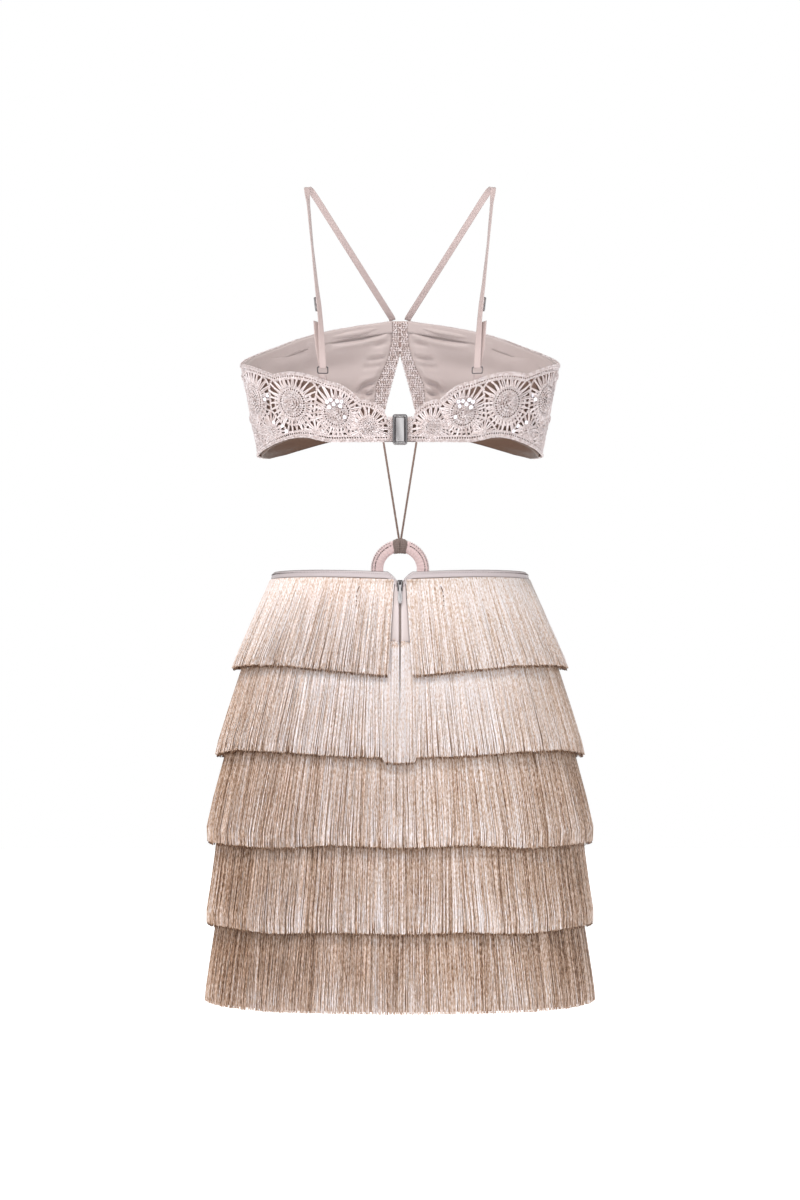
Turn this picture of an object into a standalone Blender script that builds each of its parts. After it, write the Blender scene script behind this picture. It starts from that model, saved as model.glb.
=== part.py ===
"""Crochet mini dress: a lined crochet bralette and a fringed mini skirt, joined at the front by a ring.

The dress keeps the hollow form of wear. Its back faces -Y and its front faces +Y, +Z is up, and the
origin lies midway between the tops of the two shoulder straps, which carry it. Lengths in the tables
are in millimetres and angles in degrees, and a mesh is scaled to metres when it is made.
"""

import math

import bmesh
import bpy
import numpy as np
from mathutils import Vector
from mathutils.geometry import delaunay_2d_cdt

MM = 0.001
SEAM = 0.3
SIDES = (("left", -1.0), ("right", 1.0))
BACK = -1.0
FRONT = 1.0

# Band of the bralette: half width and depths of the lining's inner face at the band's bottom and top
BAND_BOTTOM = -270.0
BAND_TOP = -180.0
BAND_HALF_WIDTH = (138.5, 155.5)
BAND_DEPTH = {BACK: (93.0, 96.0), FRONT: (93.0, 87.0)}
BAND_REACH = 1.6
REFERENCE_BAND = (151.0, 96.0)

# General cup: how far it stands forward, where, and how wide it is
CUP_HEIGHT = 26.0
CUP_CENTRE = (84.0, -214.0)
CUP_SPREAD = 52.0
CUP_RISE = 62.0
CUP_DROP = 35.0
CUP_START = 0.45

# Layers of the bralette, as distances out from the lining's inner face
LINING = (0.0, 1.2)
CROCHET_INSIDE = 2.1
CROCHET_WALL = 1.6
FACING = (-1.8, -0.8)
TRIM = (-0.5, 4.4)
FACING_HEIGHT = 12.0
LINING_SETBACK = 1.8

# Seam between a cup and its trim, and the spacing of the points inside each cloth
TRIM_SEAM = 0.21
SCALLOP_STEP = 4.5
EDGING_STEP = 4.0
WING_STEP = 13.0
CUP_STEP = 17.0
LINING_STEP = 13.0
TRIM_STEP = 9.0
TAPE_STEP = 22.0
PLAIN_STEP = 40.0
ROW_SHARE = 1.3
RELIEF_ROOM = 2.2
GRID_ROOM = 0.45

# Scalloped top edge of a back wing, from the side seam to the clasp
WING_SCALLOPS = (
    # start angle, end angle, start height, end height, rise
    (0.0, 37.4, -179.0, -190.9, 4.5),
    (37.4, 63.1, -190.9, -199.2, 5.3),
    (63.1, 75.1, -199.2, -217.7, 4.1),
    (75.1, 84.0, -217.7, -227.5, 3.1),
)
WING_TAB_TOP = ((84.8, -234.4), (90.0, -234.4))
WING_BOTTOM = (
    # angle, height
    (90.0, -258.4),
    (61.3, -258.1),
    (56.2, -255.7),
    (52.4, -253.3),
    (47.6, -252.5),
    (41.4, -253.8),
    (33.4, -257.4),
    (22.7, -262.4),
    (10.9, -267.7),
    (0.0, -270.0),
)

# Front cup, from the side seam to the centre
CUP_TOP = (
    # angle, height
    (0.0, -179.0),
    (24.5, -166.6),
    (39.2, -157.2),
    (50.2, -148.2),
    (59.1, -141.6),
    (66.7, -137.3),
    (75.2, -133.2),
    (83.4, -130.1),
    (87.4, -128.2),
)
CUP_BOTTOM = (
    # angle, height
    (79.0, -248.8),
    (60.5, -251.6),
    (54.7, -254.9),
    (45.2, -260.4),
    (34.1, -266.1),
    (18.6, -270.9),
    (0.0, -270.0),
)
TRIM_EDGE = (
    # angle, height: where the cup's cloth meets the crochet trim of the keyhole
    (87.4, -128.2),
    (87.2, -149.4),
    (86.0, -163.6),
    (84.4, -174.7),
    (82.3, -186.0),
    (81.0, -193.9),
    (80.6, -205.1),
    (79.9, -222.0),
    (79.0, -248.8),
)
KEYHOLE_EDGE = (
    # angle, height
    (83.7, -248.8),
    (83.8, -221.5),
    (90.0, -162.1),
    (90.0, -128.2),
)

# Crochet medallions
WING_MEDALLIONS = (
    # angle, height, radius
    (17.5, -213.8, 17.0),
    (45.5, -219.4, 17.5),
    (65.4, -229.6, 15.5),
    (77.6, -244.4, 11.0),
    (13.5, -248.0, 11.5),
)
CUP_MEDALLIONS = (
    # angle, height, radius
    (13.0, -216.0, 17.0),
    (31.5, -224.0, 17.5),
    (48.5, -222.0, 18.0),
    (63.0, -213.0, 18.5),
    (30.0, -181.0, 11.5),
    (45.5, -180.0, 14.5),
    (59.5, -168.0, 15.5),
    (73.0, -160.0, 15.0),
    (73.5, -234.0, 9.5),
)
MEDALLION_RISE = 1.5
MEDALLION_FALL = 0.5
MEDALLION_EDGE = 0.98
MEDALLION_RINGS = ((0.6, 6), (1.0, 9))
EDGING_RISE = 0.7
EDGING_WIDTH = 6.0

# Open gaps between the medallions, each a pointed slot of four corners
GAP_CORNERS = (
    # share of the half width, share of the half height
    (1.0, -0.25),
    (0.35, 1.0),
    (-1.0, 0.25),
    (-0.35, -1.0),
)
WING_GAPS = (
    # angle, height, half width, half height, lean in degrees
    (31.5, -199.5, 2.3, 5.5, 20.0),
    (30.5, -231.0, 2.6, 6.5, -8.0),
    (56.8, -210.5, 2.8, 6.5, 12.0),
    (55.8, -236.0, 3.2, 6.0, -15.0),
    (70.8, -218.8, 2.3, 4.6, 35.0),
    (71.3, -247.6, 2.6, 5.2, -30.0),
    (31.0, -250.5, 2.2, 3.6, 60.0),
)
CUP_GAPS = (
    # angle, height, half width, half height, lean in degrees
    (22.5, -205.0, 2.4, 5.5, 5.0),
    (22.5, -241.5, 2.6, 6.5, -5.0),
    (40.0, -205.0, 2.6, 5.5, 0.0),
    (40.0, -243.5, 2.6, 6.0, 0.0),
    (55.5, -197.0, 2.8, 6.5, 12.0),
    (55.8, -236.5, 2.8, 6.5, -12.0),
    (37.7, -165.5, 2.4, 5.0, 10.0),
    (52.0, -158.0, 2.4, 5.0, 10.0),
    (66.3, -150.0, 2.4, 4.6, 10.0),
    (68.5, -189.0, 2.8, 6.5, 25.0),
    (70.0, -216.5, 2.4, 5.5, -30.0),
)

# Clasp at the centre back
CLASP_SIZE = (14.5, 30.0)
CLASP_CENTRE_HEIGHT = -246.7
CLASP_RIM = 2.2
CLASP_DEPTH = 3.0
CLASP_PLATE_DEPTH = 1.8
CLASP_GAP = 0.45
CLASP_BEVEL = 0.6
CLASP_CORNER = 2.4

# Straps, one ribbon each: centre of the front end, over the shoulder, down the back to the ring
STRAP_WIDTH = 6.6
STRAP_THICKNESS = 0.9
STRAP_ROUTE = (
    # x, y, z, then the direction of the ribbon's width
    (7.6, 89.2, -127.4, 1.0, 0.0, 0.0),
    (8.6, 88.2, -124.6, 0.95, 0.0, -0.2),
    (14.0, 82.0, -116.5, 0.84, 0.0, -0.5),
    (48.0, 46.5, -65.0, 0.84, 0.0, -0.55),
    (83.5, 11.0, -11.0, 0.84, 0.0, -0.55),
    (89.6, 4.8, -2.6, 0.96, 0.0, -0.28),
    (92.0, 0.0, -0.5, 1.0, 0.0, 0.0),
    (92.8, -4.6, -2.2, 0.92, -0.38, 0.0),
    (92.6, -8.6, -8.0, 0.70, -0.70, 0.0),
    (91.4, -13.6, -18.0, 0.40, -0.92, 0.0),
    (87.2, -34.0, -60.0, 0.25, -0.97, 0.0),
    (82.4, -53.5, -102.0, 0.45, -0.89, 0.0),
    (79.8, -62.0, -122.0, 0.62, -0.78, 0.0),
    (78.2, -69.0, -138.0, 0.66, -0.75, 0.0),
    (76.6, -80.5, -164.0, 0.92, -0.38, 0.0),
    (75.8, -86.0, -178.0, 1.0, -0.10, 0.0),
    (75.6, -88.6, -184.2, 1.0, -0.10, 0.0),
)
STRAP_LOOP_GAP = 1.55
STRAP_LOOP_TOP = 13
STRAP_LOOP_TURNS = (30.0, 65.0, 100.0, 135.0)
SLIDER_SIZE = (8.6, 15.8, 1.6)
SLIDER_BAR = 1.5
SLIDER_CORNER = 1.2
SLIDER_ROW = 12
STRAP_RING_SIZE = (11.4, 8.4)
STRAP_RING_WIRE = 1.4
STRAP_RING_CORNER = 1.2
STRAP_RING_SIDES = 6
STRAP_TAB_WIDTH = 7.0
STRAP_TAB_LAYER = (1.2, 3.2)
STRAP_TAB_GAP = 0.45
STRAP_TAB_STEPS = 3

# Ring at the front waist, its two wraps, and the cords that come down to it from the cups
RING_CENTRE = (98.0, -381.3)
RING_RADII = (17.1, 29.7)
RING_THICKNESS = 4.0
RING_SOFTNESS = 1.2
RING_STATIONS = 32
WRAP_THICKNESS = 1.0
WRAP_CLEARANCE = 0.4
WRAP_HALF_ANGLE = 14.0
WRAP_STEPS = 4
CORD_RADIUS = 0.9
CORD_APART = 1.15
CORD_SIDES = 8
CORD_STATIONS = 5
CORD_INSET = 1.44

# Skirt: the inner face of its cloth at each level
SKIRT_LEVELS = (
    # height, half width, depth to the back, depth to the front
    (-386.0, 125.0, 96.0, 84.5),
    (-456.0, 146.5, 112.0, 94.0),
    (-541.0, 164.5, 127.0, 103.0),
    (-627.0, 176.5, 132.0, 109.0),
    (-711.0, 177.0, 133.0, 113.0),
    (-790.0, 181.0, 134.0, 115.0),
)
SKIRT_WALL = 1.2
PANEL_STEPS = 15
ZIP_PARTING = 1.0
PANEL_TOP = -390.7
PANEL_HEM = -790.0
BINDING_TOP = -385.0
BINDING_HEIGHT = 5.2
BINDING_LAYER = (-1.0, 2.3)
BINDING_DIP = 7.5
BINDING_DIP_WIDTH = 6.4
BINDING_DIP_LAYER = (1.7, 3.3)
BINDING_STATIONS = (2.9, 3.9, 5.0, 6.3, 8.5)
BINDING_STEPS = 38

# Fringe tiers, from the waist down
TIER_NAMES = ("fringe_tier_1", "fringe_tier_2", "fringe_tier_3", "fringe_tier_4", "fringe_tier_5")
TIERS = (
    # root height, locks, root half split, hem half split, hem stand-off
    (-392.0, 40, 5.6, 11.2, 12.6),
    (-456.0, 42, 1.5, 1.9, 14.4),
    (-541.0, 42, 0.0, 0.0, 14.0),
    (-627.0, 42, 0.0, 0.0, 14.8),
    (-711.0, 42, 0.0, 0.0, 11.8),
)
HEMS = (
    # hem heights of each tier at even steps from the centre back to the centre front
    (-489.0, -484.5, -479.5, -477.5, -479.5, -481.0, -478.0, -479.0, -482.0),
    (-573.0, -566.0, -561.5, -561.0, -566.0, -571.0, -565.0, -563.0, -566.0),
    (-656.0, -653.0, -656.0, -658.0, -652.0, -655.0, -657.0, -653.0, -655.0),
    (-738.0, -737.0, -740.0, -739.0, -735.0, -735.0, -739.0, -741.0, -738.0),
    (-813.0, -813.0, -814.0, -813.5, -812.0, -812.0, -814.0, -813.0, -814.0),
)
STRIP_HEIGHT = 4.5
STRIP_LAYER = (2.2, 4.0)
LOCK_LEVELS = (
    # share of the way down, share of the stand-off, share of the thickness
    (0.45, 0.42, 1.0),
    (1.0, 1.0, 0.8),
)
LOCK_THICKNESS = 3.2
LOCK_GAP = 1.5
LOCK_TAPER = 0.25
# Unevenness of the locks: its size, its turn from lock to lock and from tier to tier, and its parts
LOCK_JITTER = 1.6
JITTER_TURN = 2.7
JITTER_TIER_TURN = 1.3
JITTER_DOWN = 0.6
JITTER_OUT = 0.175
JITTER_ASIDE = 0.0006

# Zip at the centre back
TAPE_LAYER = (1.6, 2.4)
TAPE_OUTLINE = (
    # distance from the zip, height
    (1.1, -395.2),
    (2.7, -395.2),
    (5.2, -392.2),
    (9.8, -455.2),
    (1.1, -455.2),
)
TEETH_WIDTH = 1.5
TEETH_LAYER = (1.6, 3.0)
TEETH_ENDS = (-405.6, -539.5)
TEETH_STATIONS = 7
ZIP_SLIDER_SIZE = (5.0, 10.8, 2.4)
ZIP_SLIDER_CENTRE = -399.9
ZIP_SLIDER_OUT = 2.8
ZIP_SLOPE_REACH = 5.0
ZIP_BRIDGE_WIDTH = 1.3
ZIP_BRIDGE_HEIGHT = -396.6
PULL_AXIS_OUT = 0.75
BRIDGE_OUTLINE = ((-1.6, -1.2), (1.6, -1.2), (1.6, 1.7), (-1.6, 1.7))
BRIDGE_TUNNEL = ((-1.0, -0.85), (1.0, -0.85), (1.0, 1.05), (-1.0, 1.05))
PULL_THICKNESS = 0.9
PULL_WIDTH = 4.6
PULL_EYE = ((-1.0, 0.45), (1.0, 0.45), (1.0, 2.9), (-1.0, 2.9))
PULL_SHAPE = (
    # distance from the bar, half width as a share of the whole width
    (-0.45, 0.36),
    (2.8, 0.36),
    (7.2, 0.24),
    (11.6, 0.36),
    (16.2, 0.50),
    (19.2, 0.44),
    (21.2, 0.25),
    (21.8, 0.0),
)

COLOURS = {
    # name: red, green, blue, roughness, metallic
    "woven lining": (0.60, 0.50, 0.44, 0.85, 0.0),
    "crochet yarn": (0.74, 0.63, 0.57, 0.80, 0.0),
    "strap tape": (0.56, 0.46, 0.40, 0.55, 0.0),
    "cord": (0.25, 0.16, 0.12, 0.60, 0.0),
    "covered ring": (0.72, 0.52, 0.48, 0.60, 0.0),
    "wrap": (0.32, 0.24, 0.19, 0.70, 0.0),
    "skirt cloth": (0.48, 0.38, 0.30, 0.80, 0.0),
    "satin binding": (0.66, 0.55, 0.48, 0.45, 0.0),
    "viscose fringe": (0.66, 0.50, 0.37, 0.45, 0.0),
    "zip tape": (0.58, 0.48, 0.42, 0.75, 0.0),
    "polished metal": (0.62, 0.60, 0.59, 0.18, 1.0),
}


def clear_scene():
    for item in list(bpy.data.objects):
        bpy.data.objects.remove(item)


def material(name):
    """The material of one finish, made on its first use."""
    found = bpy.data.materials.get(name)
    if found:
        return found
    red, green, blue, roughness, metallic = COLOURS[name]
    made = bpy.data.materials.new(name)
    made.use_nodes = True
    shader = made.node_tree.nodes["Principled BSDF"]
    shader.inputs["Base Color"].default_value = (red, green, blue, 1.0)
    shader.inputs["Roughness"].default_value = roughness
    shader.inputs["Metallic"].default_value = metallic
    return made


def add_solid(name, points, faces, finish, sharp=40.0):
    """One closed body from points in millimetres, with its faces turned outwards."""
    mesh = bpy.data.meshes.new(name)
    mesh.from_pydata([Vector(p) * MM for p in points], [], faces)
    work = bmesh.new()
    work.from_mesh(mesh)
    bmesh.ops.delete(work, geom=[v for v in work.verts if not v.link_faces], context="VERTS")
    bmesh.ops.recalc_face_normals(work, faces=work.faces)
    work.to_mesh(mesh)
    work.free()
    mesh.shade_smooth()
    mesh.set_sharp_from_angle(angle=math.radians(sharp))
    made = bpy.data.objects.new(name, mesh)
    made.data.materials.append(material(finish))
    bpy.context.collection.objects.link(made)
    return made


def sweep(rings, closed=False):
    """Points and faces of a tube through rings of equal length, capped where it is open."""
    size = len(rings[0])
    points = [point for ring in rings for point in ring]
    faces = []
    steps = len(rings) if closed else len(rings) - 1
    for row in range(steps):
        here = row * size
        there = (row + 1) % len(rings) * size
        for i in range(size):
            j = (i + 1) % size
            faces.append((here + i, here + j, there + j, there + i))
    if not closed:
        faces.append(tuple(range(size)))
        faces.append(tuple(range(len(points) - size, len(points))))
    return points, faces


# Flat patterns
def inside(point, loop):
    """Whether a point lies in a closed loop of the flat pattern."""
    x, y = point
    found = False
    for i, (x1, y1) in enumerate(loop):
        x2, y2 = loop[i - 1]
        if (y1 > y) != (y2 > y) and x < (x2 - x1) * (y - y1) / (y2 - y1) + x1:
            found = not found
    return found


def divide(loop, step):
    """A closed loop with points added so that no edge is longer than step."""
    result = []
    for i, start in enumerate(loop):
        end = loop[(i + 1) % len(loop)]
        count = max(1, math.ceil(math.dist(start, end) / step))
        for k in range(count):
            t = k / count
            result.append((start[0] + (end[0] - start[0]) * t, start[1] + (end[1] - start[1]) * t))
    return result


def triangulate(outline, gaps, extra, step):
    """Points and triangles that fill an outline, less its gaps."""
    edge_loop = divide(outline, step)
    gaps = [list(gap) for gap in gaps]
    points = []
    edges = []
    for loop in [edge_loop, *gaps]:
        first = len(points)
        points += loop
        edges += [(first + i, first + (i + 1) % len(loop)) for i in range(len(loop))]
    xs = [p[0] for p in outline]
    ys = [p[1] for p in outline]
    across = max(1, round((max(xs) - min(xs)) / step))
    down = max(1, round((max(ys) - min(ys)) / (step * ROW_SHARE)))
    grid = [
        (min(xs) + (max(xs) - min(xs)) * (i + 0.5 * (j % 2)) / across,
         min(ys) + (max(ys) - min(ys)) * (j + 0.5) / down)
        for j in range(down)
        for i in range(across + 1)
    ]
    spare = [(p, RELIEF_ROOM) for p in extra] + [(p, step * GRID_ROOM) for p in grid]
    for point, room in spare:
        if not inside(point, outline) or any(inside(point, gap) for gap in gaps):
            continue
        if min(math.dist(point, other) for other in points) > room:
            points.append(point)
    flat, _, faces, *_ = delaunay_2d_cdt([Vector(p) for p in points], edges, [], 0, 1e-6)
    flat = [tuple(p) for p in flat]
    kept = []
    for face in faces:
        middle = tuple(sum(flat[i][k] for i in face) / 3 for k in (0, 1))
        if inside(middle, edge_loop) and not any(inside(middle, gap) for gap in gaps):
            kept.append(tuple(face))
    return flat, kept


def sheet_solid(name, place, outline, finish, layer, relief=None, gaps=(), extra=(), step=12.0):
    """A cloth wall cut to a flat outline and put in place, with relief in its outer points alone."""
    flat, triangles = triangulate(outline, gaps, extra, step)
    count = len(flat)
    points = [place(u, v, layer[0]) for u, v in flat]
    points += [place(u, v, layer[1] + (relief(u, v) if relief else 0.0)) for u, v in flat]
    faces = [tuple(reversed(face)) for face in triangles]
    faces += [tuple(i + count for i in face) for face in triangles]
    sides = {}
    for face in triangles:
        for i in range(3):
            start, end = face[i], face[(i + 1) % 3]
            if (end, start) in sides:
                del sides[(end, start)]
            else:
                sides[(start, end)] = True
    faces += [(start, end, end + count, start + count) for start, end in sides]
    return add_solid(name, points, faces, finish)


# The band of the bralette, as a flat pattern of arc length and height
BAND_ANGLES = np.linspace(0.0, math.pi / 2, 181)
BAND_ARCS = np.concatenate(([0.0], np.cumsum(np.hypot(
    np.diff(REFERENCE_BAND[0] * np.cos(BAND_ANGLES)),
    np.diff(REFERENCE_BAND[1] * np.sin(BAND_ANGLES)),
))))
BAND_ARC = float(BAND_ARCS[-1])


def arc_at(degrees):
    return float(np.interp(math.radians(degrees), BAND_ANGLES, BAND_ARCS))


def on_arc(table):
    """A table of angle and height as points of arc length and height."""
    return [(arc_at(angle), height) for angle, height in table]


def smooth_step(t):
    t = min(max(t, 0.0), 1.0)
    return t * t * (3.0 - 2.0 * t)


def cup_bulge(x, z, angle):
    """How far the cup stands forward of the rib cage."""
    spread = CUP_RISE if z > CUP_CENTRE[1] else CUP_DROP
    fall = ((x - CUP_CENTRE[0]) / CUP_SPREAD) ** 2 + ((z - CUP_CENTRE[1]) / spread) ** 2
    return CUP_HEIGHT * math.exp(-fall) * smooth_step(angle / CUP_START)


def band_place(face, side):
    """Where a point of the flat band lies on the body, with its distance out."""
    def place(arc, z, out):
        angle = float(np.interp(arc, BAND_ARCS, BAND_ANGLES))
        t = min(max((z - BAND_BOTTOM) / (BAND_TOP - BAND_BOTTOM), 0.0), BAND_REACH)
        low, high = BAND_HALF_WIDTH
        x = (low + (high - low) * t + out) * math.cos(angle)
        near, far = BAND_DEPTH[face]
        y = (near + (far - near) * t + out) * math.sin(angle)
        if face == FRONT:
            y += cup_bulge(x, z, angle)
        return (side * x, face * y, z)
    return place


def wing_top():
    """Scalloped edge of a wing, from the side seam to the centre back."""
    points = []
    for start, end, first, last, rise in WING_SCALLOPS:
        count = max(4, round((end - start) / SCALLOP_STEP))
        for i in range(count):
            t = i / count
            height = first + (last - first) * t + rise * math.sin(math.pi * t)
            points.append((arc_at(start + (end - start) * t), height))
    points.append((arc_at(WING_SCALLOPS[-1][1]), WING_SCALLOPS[-1][3]))
    return points + on_arc(WING_TAB_TOP)


def hold_back(points, low, high):
    """Points with their arc kept between two ends, for the seam's own gap."""
    return [(min(max(arc, low), high), height) for arc, height in points]


def wing_outline(setback=0.0):
    top = [(arc, height - setback) for arc, height in wing_top()]
    return hold_back(top + on_arc(WING_BOTTOM), SEAM / 2, BAND_ARC - SEAM)


def cup_outline(setback=0.0):
    top = [(arc, height - setback) for arc, height in on_arc(CUP_TOP)]
    edge = [(arc - TRIM_SEAM, height) for arc, height in on_arc(TRIM_EDGE)][1:-1]
    corner = (arc_at(CUP_BOTTOM[0][0]) - TRIM_SEAM, CUP_BOTTOM[0][1])
    top[-1] = (top[-1][0] - TRIM_SEAM, top[-1][1])
    return hold_back(top + edge + [corner] + on_arc(CUP_BOTTOM[1:]), SEAM / 2, BAND_ARC)


def medallion_points(rows):
    """The middle and two rings of points for each medallion."""
    points = []
    for angle, height, radius in rows:
        centre = (arc_at(angle), height)
        points.append(centre)
        for share, sides in MEDALLION_RINGS:
            for i in range(sides):
                turn = math.tau * i / sides
                points.append((centre[0] + radius * share * math.cos(turn),
                               centre[1] + radius * share * math.sin(turn)))
    return points


def medallion_relief(rows, edge):
    """Height of the crochet's outer face: domed medallions and a raised edging."""
    centres = [(arc_at(angle), height, radius) for angle, height, radius in rows]

    def relief(arc, z):
        rise = 0.0
        for x, y, radius in centres:
            away = math.hypot(arc - x, z - y) / radius
            if away < MEDALLION_EDGE:
                rise = max(rise, MEDALLION_RISE * (1.0 - MEDALLION_FALL * away * away))
        if min(math.dist((arc, z), point) for point in edge) < EDGING_WIDTH:
            rise = max(rise, EDGING_RISE)
        return rise
    return relief


def pointed_gaps(rows):
    """Slots with pointed ends, each from its middle, its half sizes and its lean."""
    loops = []
    for angle, height, half_width, half_height, lean in rows:
        turn = math.radians(lean)
        corners = [(half_width * u, half_height * v) for u, v in GAP_CORNERS]
        centre = arc_at(angle)
        loops.append([
            (centre + u * math.cos(turn) - v * math.sin(turn),
             height + u * math.sin(turn) + v * math.cos(turn))
            for u, v in corners
        ])
    return loops


# The bralette
def build_wings():
    for name, side in SIDES:
        place = band_place(BACK, side)
        sheet_solid(f"wing_lining_{name}", place, wing_outline(LINING_SETBACK), "woven lining", LINING)
        layer = (CROCHET_INSIDE, CROCHET_INSIDE + CROCHET_WALL)
        outline = wing_outline()
        relief = medallion_relief(WING_MEDALLIONS, divide(wing_top(), EDGING_STEP))
        sheet_solid(f"wing_crochet_{name}", place, outline, "crochet yarn", layer, relief,
                    pointed_gaps(WING_GAPS), medallion_points(WING_MEDALLIONS), WING_STEP)


def build_cups():
    for name, side in SIDES:
        place = band_place(FRONT, side)
        sheet_solid(f"cup_lining_{name}", place, cup_outline(), "woven lining", LINING, step=LINING_STEP)
        layer = (CROCHET_INSIDE, CROCHET_INSIDE + CROCHET_WALL)
        relief = medallion_relief(CUP_MEDALLIONS, divide(on_arc(CUP_TOP), EDGING_STEP))
        sheet_solid(f"cup_crochet_{name}", place, cup_outline(), "crochet yarn", layer, relief,
                    pointed_gaps(CUP_GAPS), medallion_points(CUP_MEDALLIONS), CUP_STEP)
        upper = hold_back(on_arc(CUP_TOP), 1.0, BAND_ARC)
        lower = [(arc, height - FACING_HEIGHT) for arc, height in reversed(upper)]
        sheet_solid(f"cup_facing_{name}", place, upper + lower, "woven lining", FACING)
        edge = [(arc + TRIM_SEAM, height) for arc, height in on_arc(TRIM_EDGE)]
        outline = edge + hold_back(on_arc(KEYHOLE_EDGE), 0.0, BAND_ARC - SEAM)
        sheet_solid(f"front_trim_{name}", place, outline, "crochet yarn", TRIM, step=TRIM_STEP)


def rounded_rectangle(width, height, radius, steps=3):
    """Corner points of a rectangle with round corners, about its middle."""
    points = []
    for turn, (u, v) in enumerate(((1, 1), (-1, 1), (-1, -1), (1, -1))):
        for i in range(steps + 1):
            angle = math.pi / 2 * (turn + i / steps)
            points.append((u * (width / 2 - radius) + radius * math.cos(angle),
                           v * (height / 2 - radius) + radius * math.sin(angle)))
    return points


def build_clasp():
    width, height = CLASP_SIZE
    crochet = CROCHET_INSIDE + CROCHET_WALL + EDGING_RISE
    near = band_place(BACK, 1.0)(BAND_ARC, CLASP_CENTRE_HEIGHT, crochet)[1] - CLASP_GAP

    def loop(inset, y):
        flat = rounded_rectangle(width - 2 * inset, height - 2 * inset, CLASP_CORNER - inset / 2)
        return [(u, y, CLASP_CENTRE_HEIGHT + v) for u, v in flat]
    bevel = CLASP_BEVEL
    far = near - CLASP_DEPTH
    rings = [loop(0.0, near), loop(0.0, far + bevel), loop(bevel, far), loop(CLASP_RIM - bevel, far),
             loop(CLASP_RIM, far + bevel), loop(CLASP_RIM, near)]
    points, faces = sweep(rings, closed=True)
    add_solid("clasp_frame", points, faces, "polished metal")
    inset = CLASP_RIM + SEAM
    face = near - CLASP_PLATE_DEPTH
    points, faces = sweep([loop(inset, near), loop(inset, face + bevel), loop(inset + bevel, face)])
    add_solid("clasp_plate", points, faces, "polished metal")


# Straps and their metal
def ribbon_rings(rows, width, thickness):
    """Rectangular rings along a route whose rows hold a point and the ribbon's width direction."""
    rings = []
    for i, row in enumerate(rows):
        here = Vector(row[:3])
        before = Vector(rows[max(i - 1, 0)][:3])
        after = Vector(rows[min(i + 1, len(rows) - 1)][:3])
        along = (after - before).normalized()
        across = Vector(row[3:])
        across = (across - across.dot(along) * along).normalized()
        through = along.cross(across).normalized()
        u = across * width / 2
        v = through * thickness / 2
        rings.append([here + u + v, here - u + v, here - u - v, here + u - v])
    return rings


def strap_frame(row):
    """Place, way along, way across and outward way of the strap at one row of its route."""
    here = Vector(STRAP_ROUTE[row][:3])
    before = Vector(STRAP_ROUTE[row - 1][:3])
    after = Vector(STRAP_ROUTE[min(row + 1, len(STRAP_ROUTE) - 1)][:3])
    along = (after - before).normalized()
    across = Vector(STRAP_ROUTE[row][3:])
    across = (across - across.dot(along) * along).normalized()
    return here, along, across, across.cross(along).normalized()


def strap_rows():
    """The strap's whole route: down the back, round the ring's upper bar and up again in front."""
    last, along, across, outward = strap_frame(len(STRAP_ROUTE) - 1)
    rows = list(STRAP_ROUTE)
    for turn in STRAP_LOOP_TURNS:
        angle = math.radians(turn)
        point = last + outward * STRAP_LOOP_GAP * (1.0 - math.cos(angle))
        point += along * STRAP_LOOP_GAP * math.sin(angle)
        rows.append((*point, *across))
    for row in range(len(STRAP_ROUTE) - 1, STRAP_LOOP_TOP - 1, -1):
        here, _, across, outward = strap_frame(row)
        rows.append((*(here + outward * 2.0 * STRAP_LOOP_GAP), *across))
    return rows


def mirrored(points, side):
    return [(side * p[0], p[1], p[2]) for p in points]


def build_straps():
    points, faces = sweep(ribbon_rings(strap_rows(), STRAP_WIDTH, STRAP_THICKNESS))
    for name, side in SIDES:
        add_solid(f"strap_{name}", mirrored(points, side), faces, "strap tape")


def build_sliders():
    """A flat ladder of metal in front of the strap, its middle bar under the strap's end."""
    width, height, depth = SLIDER_SIZE
    here, along, across, outward = strap_frame(SLIDER_ROW)
    base = here + outward * (STRAP_THICKNESS / 2 + SEAM)
    half = height / 2
    bar = SLIDER_BAR

    def window(low, high):
        reach = width / 2 - bar
        return [(-reach, low), (reach, low), (reach, high), (-reach, high)]

    def place(u, v, out):
        return base + across * u - along * v + outward * out
    outline = rounded_rectangle(width, height, SLIDER_CORNER, 2)
    windows = [window(-half + bar, -bar / 2), window(bar / 2, half - bar)]
    for name, side in SIDES:
        def put(u, v, out, side=side):
            return mirrored([place(u, v, out)], side)[0]
        sheet_solid(f"strap_slider_{name}", put, outline, "polished metal", (0.0, depth),
                    gaps=windows, step=PLAIN_STEP)


def build_strap_rings():
    """A square ring of wire: its upper bar lies in the strap's loop, its lower bar on the tab."""
    last, along, across, outward = strap_frame(len(STRAP_ROUTE) - 1)
    centre = last + outward * STRAP_LOOP_GAP
    width, height = STRAP_RING_SIZE
    rings = []
    for u, v in rounded_rectangle(width - STRAP_RING_WIRE, height - STRAP_RING_WIRE, STRAP_RING_CORNER, 2):
        middle = centre + across * u + along * (height / 2 - STRAP_RING_WIRE / 2 + v)
        away = (across * u / width + along * v / height).normalized()
        ring = []
        for i in range(STRAP_RING_SIDES):
            angle = math.tau * i / STRAP_RING_SIDES
            ring.append(middle + (away * math.cos(angle) + outward * math.sin(angle)) * STRAP_RING_WIRE / 2)
        rings.append(ring)
    points, faces = sweep(rings, closed=True)
    for name, side in SIDES:
        add_solid(f"strap_ring_{name}", mirrored(points, side), faces, "polished metal")


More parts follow.
